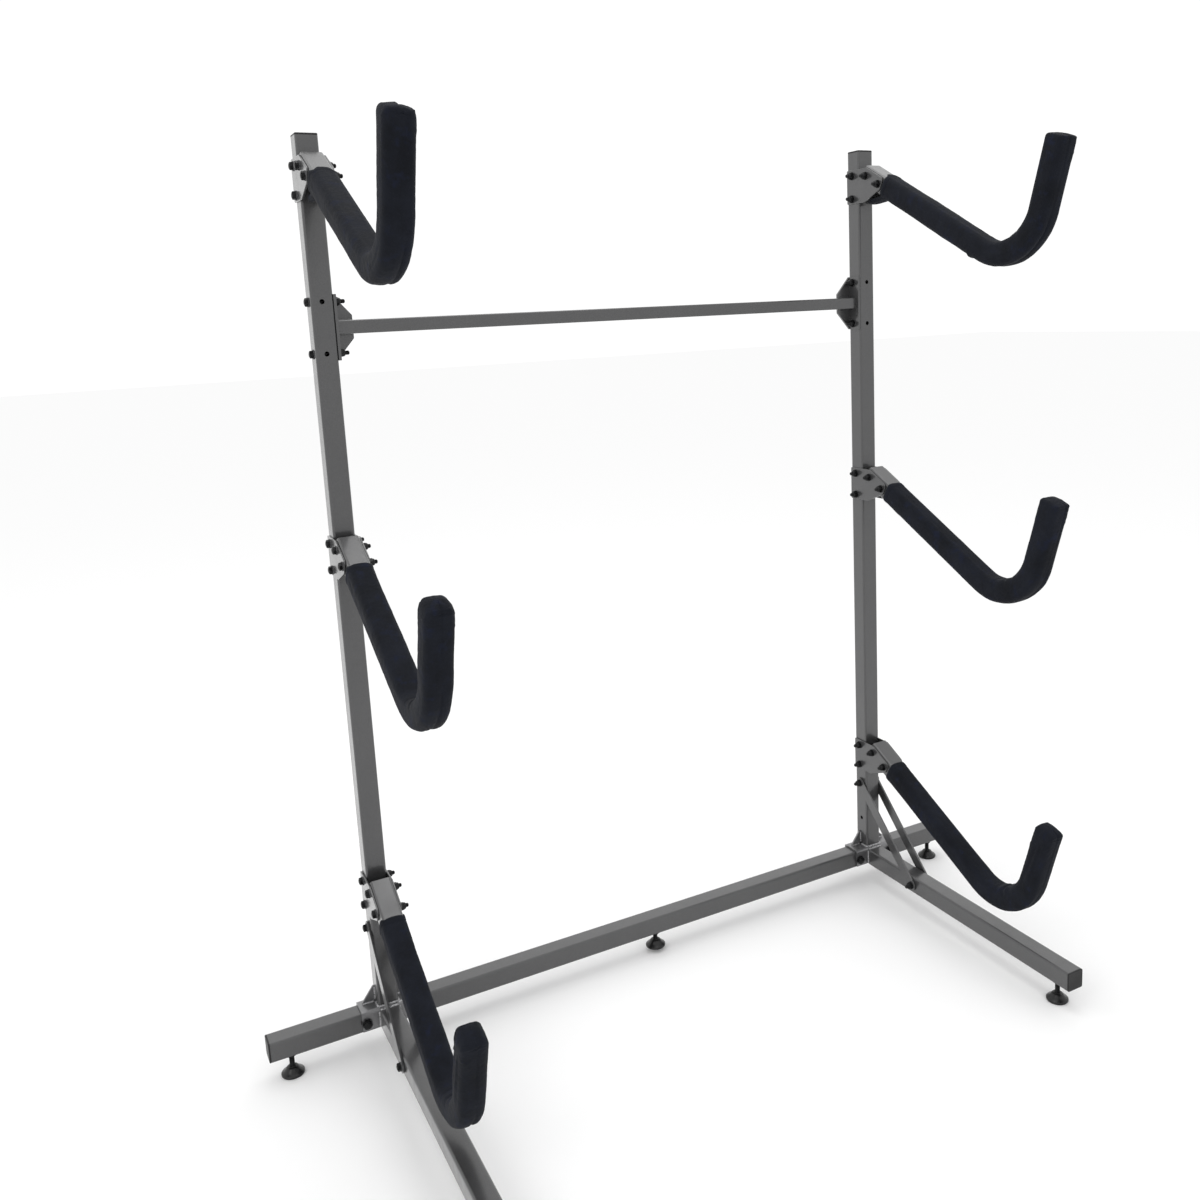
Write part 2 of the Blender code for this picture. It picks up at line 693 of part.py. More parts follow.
def foot_mesh():
    """Levelling foot: domed pad with its moulded-in stud, standing on 0."""
    shoulder = (FOOT_RADIUS + FOOT_NECK) / 2
    slope = (FOOT_HEIGHT + FOOT_RIM) / 2
    profile = [
        (FOOT_RADIUS - FOOT_EDGE, 0.0),
        (FOOT_RADIUS, FOOT_EDGE),
        (FOOT_RADIUS, FOOT_RIM),
        (shoulder + FOOT_EDGE, slope + FOOT_EDGE),
        (FOOT_NECK, FOOT_HEIGHT),
        (STUD / 2, FOOT_HEIGHT),
        (STUD / 2, STUD_TOP - FOOT_EDGE),
        (STUD / 2 - FOOT_EDGE, STUD_TOP),
    ]
    body = Solid()
    rings = [body.loop(polygon(radius, FOOT_SIDES), UPWARD, height) for radius, height in profile]
    body.walls(rings)
    body.cap(rings[0])
    body.cap(rings[-1])
    return body.mesh("foot", smooth=True)


class Rack:
    """Places the pieces under one empty, which stands at the middle of the rack's box."""

    def __init__(self):
        self.origin = bpy.data.objects.new("rack_origin", None)
        self.origin.location = (0, (FRONT - REAR) / 2, 0)
        bpy.context.scene.collection.objects.link(self.origin)

    def place(self, name, mesh, material, location=(0, 0, 0), rotation=(0, 0, 0)):
        """One named piece."""
        if not mesh.materials:
            mesh.materials.append(material)
        mesh.materials[0] = material
        piece = bpy.data.objects.new(name, mesh)
        piece.parent = self.origin
        piece.location = location
        piece.rotation_euler = rotation
        bpy.context.scene.collection.objects.link(piece)
        return piece


def place_frame(rack, paint):
    """Posts, saddles, beams, crossbars and struts."""
    rack.place("lower_crossbar", lower_crossbar_mesh(), paint)
    rack.place("upper_crossbar", upper_crossbar_mesh(), paint, (0, 0, CROSSBAR_LEVEL))
    saddle = saddle_mesh()
    beam = foot_beam_mesh()
    struts = {outward: strut_mesh(outward) for outward in (-1, 1)}
    for side, sign in SIDES.items():
        post = (sign * POST_X, 0, 0)
        rack.place(side + "_upright", upright_mesh(sign), paint, post)
        rack.place(side + "_saddle", saddle, paint, post)
        rack.place(side + "_foot_beam", beam, paint, post)
        rack.place(side + "_outer_strut", struts[sign], paint, post)
        rack.place(side + "_inner_strut", struts[-sign], paint, post)


def place_arms(rack, paint, fabric):
    """Arms, sleeves and bracket plates."""
    arm = arm_mesh()
    pad = pad_mesh()
    for side, sign in SIDES.items():
        outer = bracket_mesh(sign, True)
        inner = bracket_mesh(-sign, False)
        for level, height in LEVELS.items():
            spot = (sign * POST_X, 0, height)
            name = side + "_" + level
            rack.place(name + "_arm", arm, paint, spot)
            rack.place(name + "_pad", pad, fabric, spot)
            rack.place(name + "_outer_bracket", outer, paint, spot)
            rack.place(name + "_inner_bracket", inner, paint, spot)


def place_bolts(rack, zinc):
    """Bolts with their nuts: upper crossbar, struts and base."""
    crossbar_bolt = bolt_with_nut(BOLT, HEX, HEAD_HEIGHT, NUT_HEIGHT, TUBE + GAP + END_PLATE)
    strut_bolt = bolt_with_nut(BOLT, HEX, HEAD_HEIGHT, NUT_HEIGHT, TUBE + 2 * (GAP + STRUT_PLATE))
    base_bolt = bolt_with_nut(BASE_BOLT, BASE_HEX, BASE_HEAD_HEIGHT, BASE_NUT_HEIGHT, 2 * SADDLE_FACE)
    half = CROSSBAR_BOLT_SPACING / 2
    strut_outside = TUBE / 2 + GAP + STRUT_PLATE
    for side, sign in SIDES.items():
        inward = (0, -sign * math.pi / 2, 0)
        post_face = sign * (POST_X + TUBE / 2)
        strut_face = sign * (POST_X + strut_outside)
        rack.place(side + "_crossbar_bolt_upper", crossbar_bolt, zinc, (post_face, 0, CROSSBAR_LEVEL + half), inward)
        rack.place(side + "_crossbar_bolt_lower", crossbar_bolt, zinc, (post_face, 0, CROSSBAR_LEVEL - half), inward)
        rack.place(side + "_strut_bolt_top", strut_bolt, zinc, (strut_face, 0, STRUT_TOP), inward)
        rack.place(side + "_strut_bolt_bottom", strut_bolt, zinc, (strut_face, -STRUT_FOOT, BAR_LEVEL), inward)
    for name, x in base_bolt_places().items():
        rack.place(name, base_bolt, zinc, (x, -SADDLE_FACE, BAR_LEVEL), (-math.pi / 2, 0, 0))


def place_plastic(rack, plastic):
    """End caps and levelling feet."""
    cap = cap_mesh()
    foot = foot_mesh()
    for side, sign in SIDES.items():
        rack.place(side + "_post_cap", cap, plastic, (sign * POST_X, 0, POST_TOP))
        rack.place(side + "_bar_cap", cap, plastic, (sign * BAR_END, 0, BAR_LEVEL), (0, sign * math.pi / 2, 0))
        rack.place(side + "_beam_cap", cap, plastic, (sign * POST_X, -BEAM_END, BAR_LEVEL), (math.pi / 2, 0, 0))
    for name, (x, y) in foot_places().items():
        lift = MIDDLE_FOOT_LIFT if name == "middle_foot" else 0.0
        rack.place(name, foot, plastic, (x, y, lift))


def build():
    """Model the whole rack."""
    clear_scene()
    paint = principled("grey_powder_coat", (0.33, 0.34, 0.34), 0.38, 0.55)
    zinc = principled("dark_zinc", (0.07, 0.07, 0.075), 0.4, 0.8)
    plastic = principled("black_plastic", (0.02, 0.02, 0.022), 0.5, 0.0)
    fabric = principled("navy_black_fabric", (0.03, 0.035, 0.055), 0.8, 0.0)
    rack = Rack()
    place_frame(rack, paint)
    place_arms(rack, paint, fabric)
    place_bolts(rack, zinc)
    place_plastic(rack, plastic)


build()
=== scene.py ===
"""Looks of the boat rack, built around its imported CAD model. Metres, Z up, the arms reach towards -Y."""
import json
import math

import bmesh
import bpy
import numpy as np
from mathutils import Matrix, Vector, noise

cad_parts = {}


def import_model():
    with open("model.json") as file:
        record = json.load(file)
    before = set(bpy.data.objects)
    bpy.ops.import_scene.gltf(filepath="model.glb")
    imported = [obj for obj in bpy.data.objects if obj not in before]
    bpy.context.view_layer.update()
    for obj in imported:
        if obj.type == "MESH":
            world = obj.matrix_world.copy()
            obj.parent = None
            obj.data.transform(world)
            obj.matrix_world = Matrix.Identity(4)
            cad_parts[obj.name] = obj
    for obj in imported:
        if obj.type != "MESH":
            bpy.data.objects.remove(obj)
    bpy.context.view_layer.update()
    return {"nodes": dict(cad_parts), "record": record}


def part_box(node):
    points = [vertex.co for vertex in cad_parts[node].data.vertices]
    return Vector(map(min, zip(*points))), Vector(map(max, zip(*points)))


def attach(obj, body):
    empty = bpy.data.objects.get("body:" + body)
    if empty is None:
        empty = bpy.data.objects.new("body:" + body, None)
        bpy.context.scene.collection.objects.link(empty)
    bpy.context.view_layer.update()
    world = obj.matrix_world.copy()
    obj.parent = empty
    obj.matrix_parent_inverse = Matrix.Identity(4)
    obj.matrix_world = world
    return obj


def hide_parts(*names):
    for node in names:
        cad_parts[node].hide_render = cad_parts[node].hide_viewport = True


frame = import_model()
nodes = frame["nodes"]

# Sizes repeated from the CAD model
GAP = 0.0003
TUBE = 0.040
HALF = TUBE / 2
SLIM_TUBE = 0.025
LEVELS = {"top": 1.714, "middle": 1.039, "bottom": 0.364, "floor": 0.0}
ARM_LEVELS = ("top", "middle", "bottom")
ARM_SLOPE = math.radians(27.7)
ARM_LEAN = math.radians(17.0)
ARM_CORNER = 0.547
ARM_RISE = 0.256
ARM_BEND = 0.105
ARM_BOLT_NEAR = 0.0316
ARM_BOLT_FAR = 0.0789
POST_BOLT_UPPER = 0.010
POST_BOLT_LOWER = 0.060
PLATE = 0.003
PLATE_REAR = 0.018
PLATE_TOP = 0.003
PLATE_DROP = 0.071
PLATE_FOOT = 0.042
PLATE_SHOULDER = 0.017
PLATE_REACH = 0.090
PLATE_CHIN = 0.008
PLATE_ROUND = 0.009
PAD_WIDTH = 0.048
PAD_CORNER = 0.013
PAD_TIP = 0.0055
BAR_LEVEL = 0.067
BAR_UNDERSIDE = 0.047
SADDLE_FACE = 0.0243
SADDLE_TOP = BAR_LEVEL + SADDLE_FACE
SADDLE_BOLT_SPACING = 0.092
GUSSET_REACH = 0.026
GUSSET_RISE = 0.033
GUSSET_OFFSET = 0.007
GUSSET_PLATE = 0.004
CROSSBAR_LEVEL = 1.423
CROSSBAR_BOLT_SPACING = 0.0925
END_PLATE = 0.005
END_REAR = 0.018
STRUT_WIDTH = 0.025
STRUT_PLATE = 0.004
STRUT_TOP = 0.2545
STRUT_FOOT = 0.188
SPARE_HOLE_LEVEL = 0.162
STUD = 0.010

# Places that follow from them
ARM_TURN = ARM_SLOPE + math.pi / 2 - ARM_LEAN
ARM_STRAIGHT = ARM_CORNER - ARM_BEND * math.tan(ARM_TURN / 2)
ARM_ARC_END = ARM_STRAIGHT + ARM_BEND * ARM_TURN
ARM_END = ARM_ARC_END + ARM_RISE - ARM_BEND * math.tan(ARM_TURN / 2)
post_low, post_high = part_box("left_upright")
POST_X = -(post_low.x + post_high.x) / 2
POST_Y = (post_low.y + post_high.y) / 2
SIDES = {"left": -1, "right": 1}
FEET = ("left_stub_foot", "right_stub_foot", "middle_foot", "left_beam_foot", "right_beam_foot")


def give(node, inputs):
    """Set the inputs of a node; the ones given as sockets are linked."""
    for name, value in inputs.items():
        if isinstance(value, bpy.types.NodeSocket):
            node.id_data.links.new(value, node.inputs[name])
        else:
            node.inputs[name].default_value = value


def material(name, base, roughness, metallic=0.0, coat=0.0, sheen=0.0):
    """Material with one Principled shader, given by its main values."""
    made = bpy.data.materials.new(name)
    made.use_nodes = True
    give(made.node_tree.nodes["Principled BSDF"], {
        "Base Color": base, "Roughness": roughness, "Metallic": metallic, "Coat Weight": coat,
        "Sheen Weight": sheen})
    return made


class Wiring:
    """Short calls for wiring one material's nodes in object space."""

    def __init__(self, made):
        self.nodes = made.node_tree.nodes
        self.shader = self.nodes["Principled BSDF"]
        self.place = self.nodes.new("ShaderNodeTexCoord").outputs["Object"]

    def feed(self, name, value):
        """Set or link one input of the shader."""
        give(self.shader, {name: value})

    def add(self, kind, output, inputs):
        """One output of a new node with the given inputs."""
        node = self.nodes.new("ShaderNode" + kind)
        if kind == "Mix":
            node.data_type = "RGBA"
        if kind == "Math":
            node.operation = "MULTIPLY"
        give(node, inputs)
        return node.outputs[output]

    def noise(self, scale, detail=3.0, roughness=0.55):
        """Noise value over the object."""
        return self.add("TexNoise", "Fac", {"Vector": self.place, "Scale": scale, "Detail": detail,
                                            "Roughness": roughness})

    def wave(self, scale, rotation):
        """Sine bands along the X of turned object coordinates."""
        turned = self.add("Mapping", "Vector", {"Vector": self.place, "Rotation": rotation})
        return self.add("TexWave", "Fac", {"Vector": turned, "Scale": scale})

    def spread(self, value, low, high, start, end):
        """Value carried from one range to another."""
        return self.add("MapRange", "Result", {"Value": value, "From Min": low, "From Max": high,
                                               "To Min": start, "To Max": end})

    def blend(self, value, low, high, first, second, most=1.0):
        """Mix of two colours; the second one's share grows as the value passes from low to high."""
        share = self.spread(value, low, high, 0, most)
        return self.add("Mix", "Result", {"Factor": share, "A": first, "B": second})

    def bump(self, height, distance, strength, before=None):
        """Bump from a height, on top of another normal."""
        inputs = {"Height": height, "Distance": distance, "Strength": strength}
        if before is not None:
            inputs["Normal"] = before
        return self.add("Bump", "Normal", inputs)


def grey(value, light=1.0):
    """Slightly cool grey."""
    return (value * light * 0.995, value * light * 0.995, value * light * 1.02, 1)


def powder_coat(name, light=1.0, metallic=0.5):
    """Grey metallic powder coat: fine flakes under a glossy skin with an orange peel."""
    made = material(name, (0.07, 0.07, 0.07, 1), 0.36, metallic, coat=0.9)
    w = Wiring(made)
    w.feed("Coat Roughness", 0.13)
    flakes = w.noise(1500.0, 2.0, 0.6)
    cloud = w.noise(7.0, 4.0, 0.6)
    marks = w.noise(28.0, 5.0, 0.65)
    fine = w.blend(flakes, 0.35, 0.68, grey(0.046, light), grey(0.086, light))
    w.feed("Base Color", w.blend(cloud, 0.35, 0.7, fine, grey(0.051, light), 0.4))
    w.feed("Roughness", w.spread(marks, 0.3, 0.7, 0.30, 0.44))
    peel = w.bump(w.noise(380.0, 2.0, 0.5), 0.00030, 0.25)
    w.feed("Normal", peel)
    w.feed("Coat Normal", peel)
    return made


def weld_metal():
    """Weld bead under a thin coat: brighter than the tubes, glossy and uneven."""
    made = material("weld_bead_coat", (0.3, 0.3, 0.3, 1), 0.3, 0.85, coat=0.6)
    w = Wiring(made)
    w.feed("Coat Roughness", 0.1)
    blotch = w.noise(260.0, 4.0, 0.6)
    w.feed("Base Color", w.blend(blotch, 0.3, 0.7, (0.16, 0.16, 0.165, 1), (0.52, 0.52, 0.53, 1)))
    w.feed("Roughness", w.spread(blotch, 0.3, 0.7, 0.22, 0.42))
    w.feed("Normal", w.bump(w.noise(600.0, 3.0, 0.6), 0.0004, 0.5))
    return made


def dark_zinc():
    """Black zinc of the bolts and nuts, with paler wear."""
    made = material("black_zinc", (0.012, 0.012, 0.013, 1), 0.32, 0.6)
    w = Wiring(made)
    wear = w.noise(330.0, 5.0, 0.7)
    w.feed("Base Color", w.blend(wear, 0.55, 0.78, (0.0085, 0.0088, 0.0095, 1), (0.05, 0.05, 0.053, 1)))
    w.feed("Roughness", w.spread(wear, 0.3, 0.75, 0.26, 0.46))
    w.feed("Normal", w.bump(w.noise(900.0, 2.0, 0.5), 0.0002, 0.3))
    return made


def washer_zinc():
    """Duller zinc of the washers."""
    made = material("washer_zinc", (0.10, 0.10, 0.105, 1), 0.36, 0.85)
    w = Wiring(made)
    blotch = w.noise(420.0, 4.0, 0.6)
    w.feed("Base Color", w.blend(blotch, 0.35, 0.7, (0.06, 0.06, 0.063, 1), (0.16, 0.16, 0.165, 1)))
    return made


def moulded_plastic(name, light=1.0, shine=0.0):
    """Black moulded plastic with a fine grain."""
    made = material(name, (0.013, 0.013, 0.014, 1), 0.45)
    w = Wiring(made)
    w.feed("Specular IOR Level", 0.25 + shine)
    grain = w.noise(1100.0, 3.0, 0.6)
    w.feed("Base Color", w.blend(w.noise(40.0, 4.0), 0.35, 0.7, grey(0.0105, light), grey(0.021, light)))
    w.feed("Roughness", w.spread(grain, 0.3, 0.7, 0.36 - shine, 0.52 - shine))
    w.feed("Normal", w.bump(grain, 0.0002, 0.35))
    return made


def sleeve_fabric():
    """Blue-black cloth: a fine weave, a worn tone, lint and a soft sheen."""
    made = material("sleeve_cloth", (0.009, 0.0115, 0.018, 1), 0.82, sheen=0.03)
    w = Wiring(made)
    w.feed("Sheen Roughness", 0.4)
    w.feed("Specular IOR Level", 0.11)
    weave = w.add("Math", "Value", {
        0: w.wave(300.0, (0, 0, 0)), 1: w.wave(300.0, (0, math.radians(-62), math.radians(90)))})
    dust = w.noise(16.0, 6.0, 0.65)
    tone = w.blend(dust, 0.35, 0.70, (0.0046, 0.0055, 0.0082, 1), (0.0116, 0.0135, 0.0200, 1))
    tone = w.blend(w.noise(38.0, 3.0, 0.6), 0.56, 0.72, tone, (0.0085, 0.0115, 0.0260, 1), 0.75)
    tone = w.blend(w.noise(520.0, 2.0, 0.5), 0.62, 0.8, tone, (0.022, 0.024, 0.028, 1), 0.4)
    w.feed("Base Color", tone)
    w.feed("Roughness", w.spread(dust, 0.3, 0.7, 0.74, 0.9))
    soft = w.bump(w.noise(60.0, 4.0, 0.6), 0.0030, 0.45)
    nap = w.bump(w.noise(700.0, 3.0, 0.6), 0.0004, 0.4, soft)
    w.feed("Normal", w.bump(weave, 0.0003, 0.4, nap))
    return made


PAINT = powder_coat("frame_powder_coat")
# The saddles' coat is the frame's coat made 2.9 times lighter and more metallic: a painted highlight
# standing in for light reflected off the saddles.
SADDLE_PAINTED_HIGHLIGHT = powder_coat("saddle_coat_painted_highlight", 2.9, 0.8)
WELD = weld_metal()
ZINC = dark_zinc()
BRIGHT = washer_zinc()
BLACK = moulded_plastic("black_moulded_plastic")
FOOT_BLACK = moulded_plastic("foot_moulded_plastic", 0.45, 0.16)
CLOTH = sleeve_fabric()
SLOT_MATERIALS = {"frame_paint": PAINT, "dark_bolts": ZINC, "black_plastic": BLACK, "sleeve_fabric": CLOTH}


def placed(name, data):
    """New object in the scene."""
    made = bpy.data.objects.new(name, data)
    bpy.context.scene.collection.objects.link(made)
    return made


class Shape:
    """Points and faces that are gathered for one piece."""

    def __init__(self):
        self.points = []
        self.faces = []
        self.kinds = []

    def ring(self, points):
        """Add points and return their numbers."""
        start = len(self.points)
        self.points.extend(Vector(p) for p in points)
        return list(range(start, len(self.points)))

    def bridge(self, low, high, kind=0):
        """Faces between two closed rings; kind is the number of their material."""
        count = len(low)
        for i in range(count):
            j = (i + 1) % count
            self.faces.append((low[i], low[j], high[j], high[i]))
            self.kinds.append(kind)

    def cap(self, ring, kind=0, flip=False):
        """One face over a ring."""
        self.faces.append(tuple(reversed(ring)) if flip else tuple(ring))
        self.kinds.append(kind)

    def stack(self, rings, kinds=None):
        """Closed body through rings of points; kinds names the material of each band."""
        numbers = [self.ring(r) for r in rings]
        kinds = kinds or [0] * (len(rings) - 1)
        for low, high, kind in zip(numbers, numbers[1:], kinds):
            self.bridge(low, high, kind)
        self.cap(numbers[0], kinds[0], flip=True)
        self.cap(numbers[-1], kinds[-1])

    def piece(self, name, materials, body="frame", angle=35.0):
        """Make the object, shade it and let it ride on its body."""
        mesh = bpy.data.meshes.new(name)
        mesh.from_pydata(self.points, [], self.faces)
        mesh.validate()
        for item in materials:
            mesh.materials.append(item)
        mesh.polygons.foreach_set("material_index", self.kinds)
        mesh.shade_smooth()
        mesh.set_sharp_from_angle(angle=math.radians(angle))
        made = placed(name, mesh)
        outward(made)
        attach(made, body)
        return made


def outward(made):
    """Turn a closed piece's faces so that they point out."""
    bm = bmesh.new()
    bm.from_mesh(made.data)
    bmesh.ops.recalc_face_normals(bm, faces=bm.faces)
    bm.to_mesh(made.data)
    bm.free()


def arm_axis(s, bend_share=1.0):
    """Axis of an arm at lengths s: places, and directions to the inside, as (forward, up) pairs."""
    radius = ARM_BEND / bend_share
    turned = np.clip((s - ARM_STRAIGHT) / ARM_BEND, 0, ARM_TURN) * bend_share - ARM_SLOPE
    along = np.stack([np.cos(turned), np.sin(turned)], -1)
    inside = np.stack([-along[..., 1], along[..., 0]], -1)
    first = np.array([math.cos(ARM_SLOPE), -math.sin(ARM_SLOPE)])
    centre = np.array([HALF, 0.0]) + first * ARM_STRAIGHT + np.array([-first[1], first[0]]) * radius
    past = np.minimum(s - ARM_STRAIGHT, 0) + np.maximum(s - ARM_ARC_END, 0)
    return centre - inside * radius + along * past[..., None], inside


def arm_points(s, across, inward, bend_share=1.0):
    """Points beside an arm's axis, in its own frame: X across, Y back, Z up."""
    place, inside = arm_axis(s, bend_share)
    spot = place + inside * inward[..., None]
    return np.stack([across, -spot[..., 0], spot[..., 1]], -1)


def arm_plane(length, inward):
    """Point in an arm's plane, as (forward, up)."""
    place, inside = arm_axis(np.array([length]))
    return Vector((place + inside * inward)[0])


def world(side, level, across, point):
    """World place of a point given across the post and as (forward, up) from a level."""
    return Vector((SIDES[side] * POST_X + across, POST_Y - point[0], LEVELS[level] + point[1]))


def smooth(value, start, end):
    """Smooth step from 0 to 1 between two values; the value may be an array."""
    t = np.clip((value - start) / (end - start), 0, 1)
    return t * t * (3 - 2 * t)


def rounded_section(width, corner, count):
    """Evenly spaced points of a rounded square and their outward normals, from the +X side's middle."""
    straight = width - 2 * corner
    arc = corner * math.pi / 2
    total = 4 * (straight + arc)
    points = []
    normals = []
    for i in range(count):
        run = i / count * total + straight / 2
        quarter, rest = divmod(run, straight + arc)
        turn = Matrix.Rotation(quarter * math.pi / 2, 2)
        if rest < straight:
            point = Vector((width / 2, rest - straight / 2))
            normal = Vector((1, 0))
        else:
            angle = (rest - straight) / corner
            normal = Vector((math.cos(angle), math.sin(angle)))
            point = Vector((width / 2 - corner, width / 2 - corner)) + normal * corner
        points.append(turn @ point)
        normals.append(turn @ normal)
    return np.array(points), np.array(normals)


FILLET_STEPS = 6


def filleted(corners):
    """Outline whose corners, given as (point, radius), are rounded."""
    outline = []
    for i, (corner, radius) in enumerate(corners):
        before = (corners[i - 1][0] - corner).normalized()
        after = (corners[(i + 1) % len(corners)][0] - corner).normalized()
        half = before.angle(after) / 2
        centre = corner + (before + after).normalized() * (radius / math.sin(half))
        first = corner + before * (radius / math.tan(half)) - centre
        last = corner + after * (radius / math.tan(half)) - centre
        sweep = math.pi - 2 * half
        for step in range(FILLET_STEPS + 1):
            share = step / FILLET_STEPS
            arm = first * math.sin((1 - share) * sweep) + last * math.sin(share * sweep)
            outline.append(centre + arm / math.sin(sweep))
    return outline


def inset(outline, depth):
    """Outline drawn in by a depth; it runs counter-clockwise."""
    drawn = []
    for i, point in enumerate(outline):
        along = (outline[(i + 1) % len(outline)] - outline[i - 1]).normalized()
        drawn.append(point + Vector((-along.y, along.x)) * depth)
    return drawn


# Points round a bolt, and its domes as (share of the width across the flats, height or share of the collar)
HEX_POINTS = 24
HEAD_DOME = ((0.10, 0.0012), (0.22, 0.0010), (0.33, 0.0006), (0.42, 0.0))
NUT_DOME = ((0.485, 0.0), (0.478, 0.30), (0.45, 0.58), (0.40, 0.82), (0.34, 0.96))
HEAD_SINK = 0.0004
HEAD_CHAMFER = 0.0016
NUT_CHAMFER = 0.0012
COLLAR_SHARE = 0.42
WASHER = 0.0014
WASHER_SHARE = 0.64
THREAD_PITCH = 0.00125
THREAD_ROOT = 0.90
BOLT_THREADS = 3
CROSSBAR_BOLT_THREADS = 5

# Rings of a bolt's end past its threads, as (share of the radius, height)
BOLT_TIP = ((0.88, 0.0), (0.70, 0.0010), (0.4, 0.0014))

# Bolt sizes: diameter, width across the flats, height of the head and of the nut
M8 = (0.008, 0.0136, 0.0056, 0.0100)
M10 = (0.010, 0.017, 0.0064, 0.0100)

# Turn that a row of bolts starts from and the turn added for each bolt, in radians
BRACKET_BOLT_TURNS = (0.3, 0.83)
SINGLE_BOLT_TURNS = (0.9, 0.57)


def circle(radius, height, count=HEX_POINTS):
    """Ring of points round Z."""
    turns = [2 * math.pi * i / count for i in range(count)]
    return [Vector((radius * math.cos(t), radius * math.sin(t), height)) for t in turns]


def hexagon(across, height, chamfer, turn):
    """Ring on a hexagon's rim, with its corners chamfered."""
    ring = []
    for i in range(HEX_POINTS):
        t = 2 * math.pi * i / HEX_POINTS
        off = (t + math.pi / 6) % (math.pi / 3) - math.pi / 6
        radius = across / 2 / math.cos(off)
        drop = chamfer * (radius - across / 2) / (across / 2) * 4
        ring.append(Vector((radius * math.cos(t + turn), radius * math.sin(t + turn), height - drop)))
    return ring


def bolt(shape, place, size, turn, threads=BOLT_THREADS):
    """Hexagon bolt with two washers and its lock nut. The head stands at 0 and the shank runs along +Z."""
    diameter, across, head, nut, grip = size
    radius = diameter / 2
    washer = across * WASHER_SHARE
    hex_end = grip + WASHER + nut * (1 - COLLAR_SHARE)
    collar = nut * COLLAR_SHARE
    rings = [circle(across * share, -WASHER - head - rise) for share, rise in HEAD_DOME]
    head_rim = hexagon(across, head - HEAD_SINK, HEAD_CHAMFER, turn)
    rings += [
        [Vector((p.x, p.y, -WASHER - p.z)) for p in head_rim],
        hexagon(across, -WASHER, 0.0, turn),
        circle(washer, -WASHER),
        circle(washer, 0.0),
        circle(radius, 0.0),
        circle(radius, grip),
        circle(washer, grip),
        circle(washer, grip + WASHER),
        hexagon(across, grip + WASHER, 0.0, turn),
        hexagon(across, hex_end, NUT_CHAMFER, turn),
    ]
    rings += [circle(across * share, hex_end + collar * rise) for share, rise in NUT_DOME]
    rings.append(circle(radius * 1.02, hex_end + collar))
    top = grip + WASHER + nut
    for i in range(threads):
        start = top + i * THREAD_PITCH
        rings += [circle(radius * THREAD_ROOT, start), circle(radius, start + THREAD_PITCH / 2)]
    end = top + threads * THREAD_PITCH
    rings += [circle(radius * share, end + rise) for share, rise in BOLT_TIP]
    # Dark metal is 0 and the washers' metal 1, which the shank between them shares
    kinds = [0] * (len(HEAD_DOME) + 1) + [1, 1, 0, 1, 1, 1]
    kinds += [0] * (len(rings) - 1 - len(kinds))
    shape.stack([[place @ p for p in ring] for ring in rings], kinds)


def across_frame(x, y, z, direction):
    """Frame whose Z points along X, in the direction given."""
    turn = Matrix.Rotation(direction * math.pi / 2, 4, "Y")
    return Matrix.Translation((x, y, z)) @ turn


def plate(name, node, outline, side, level, direction, thickness, bevel):
    """Plate with bevelled edges beside a post, in place of a node."""
    low = HALF + GAP
    high = low + thickness
    narrow = inset(outline, bevel)
    shape = Shape()
    shape.stack([[world(side, level, direction * height, p) for p in ring] for ring, height in (
        (narrow, low), (outline, low + bevel), (outline, high - bevel), (narrow, high))])
    made = shape.piece(name, [PAINT])
    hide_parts(node)


def bracket_outline():
    """Outline of a bracket plate, as (forward, up)."""
    shoulder_turn = (arm_plane(0, PLATE_SHOULDER).y - PLATE_TOP) / math.sin(ARM_SLOPE)
    return filleted([
        (Vector((-PLATE_REAR, -PLATE_DROP)), PLATE),
        (Vector((PLATE_FOOT, -PLATE_DROP)), PLATE_ROUND),
        (arm_plane(PLATE_REACH, -PLATE_CHIN), PLATE_ROUND),
        (arm_plane(PLATE_REACH, PLATE_SHOULDER), PLATE_ROUND),
        (arm_plane(shoulder_turn, PLATE_SHOULDER), PLATE_ROUND),
        (Vector((-PLATE_REAR, PLATE_TOP)), PLATE),
    ])


def brackets():
    """Bracket plates with their bolts, washers and nuts, for all arms."""
    outline = bracket_outline()
    places = [Vector((0, -POST_BOLT_UPPER)), Vector((0, -POST_BOLT_LOWER)),
              arm_plane(ARM_BOLT_NEAR, 0), arm_plane(ARM_BOLT_FAR, 0)]
    face = HALF + GAP + PLATE
    turn, turn_step = BRACKET_BOLT_TURNS
    for side, sign in SIDES.items():
        for level in ARM_LEVELS:
            name = side + "_" + level
            for which, direction in (("outer", sign), ("inner", -sign)):
                node = name + "_" + which
                plate(node + "_plate", node + "_bracket", outline, side, level, direction, PLATE, 0.0005)
            screws = Shape()
            for place in places:
                spot = world(side, level, sign * face, place)
                turn += turn_step
                bolt(screws, across_frame(*spot, -sign), (*M8, 2 * face), turn)
            screws.piece(name + "_bolts", [ZINC, BRIGHT])


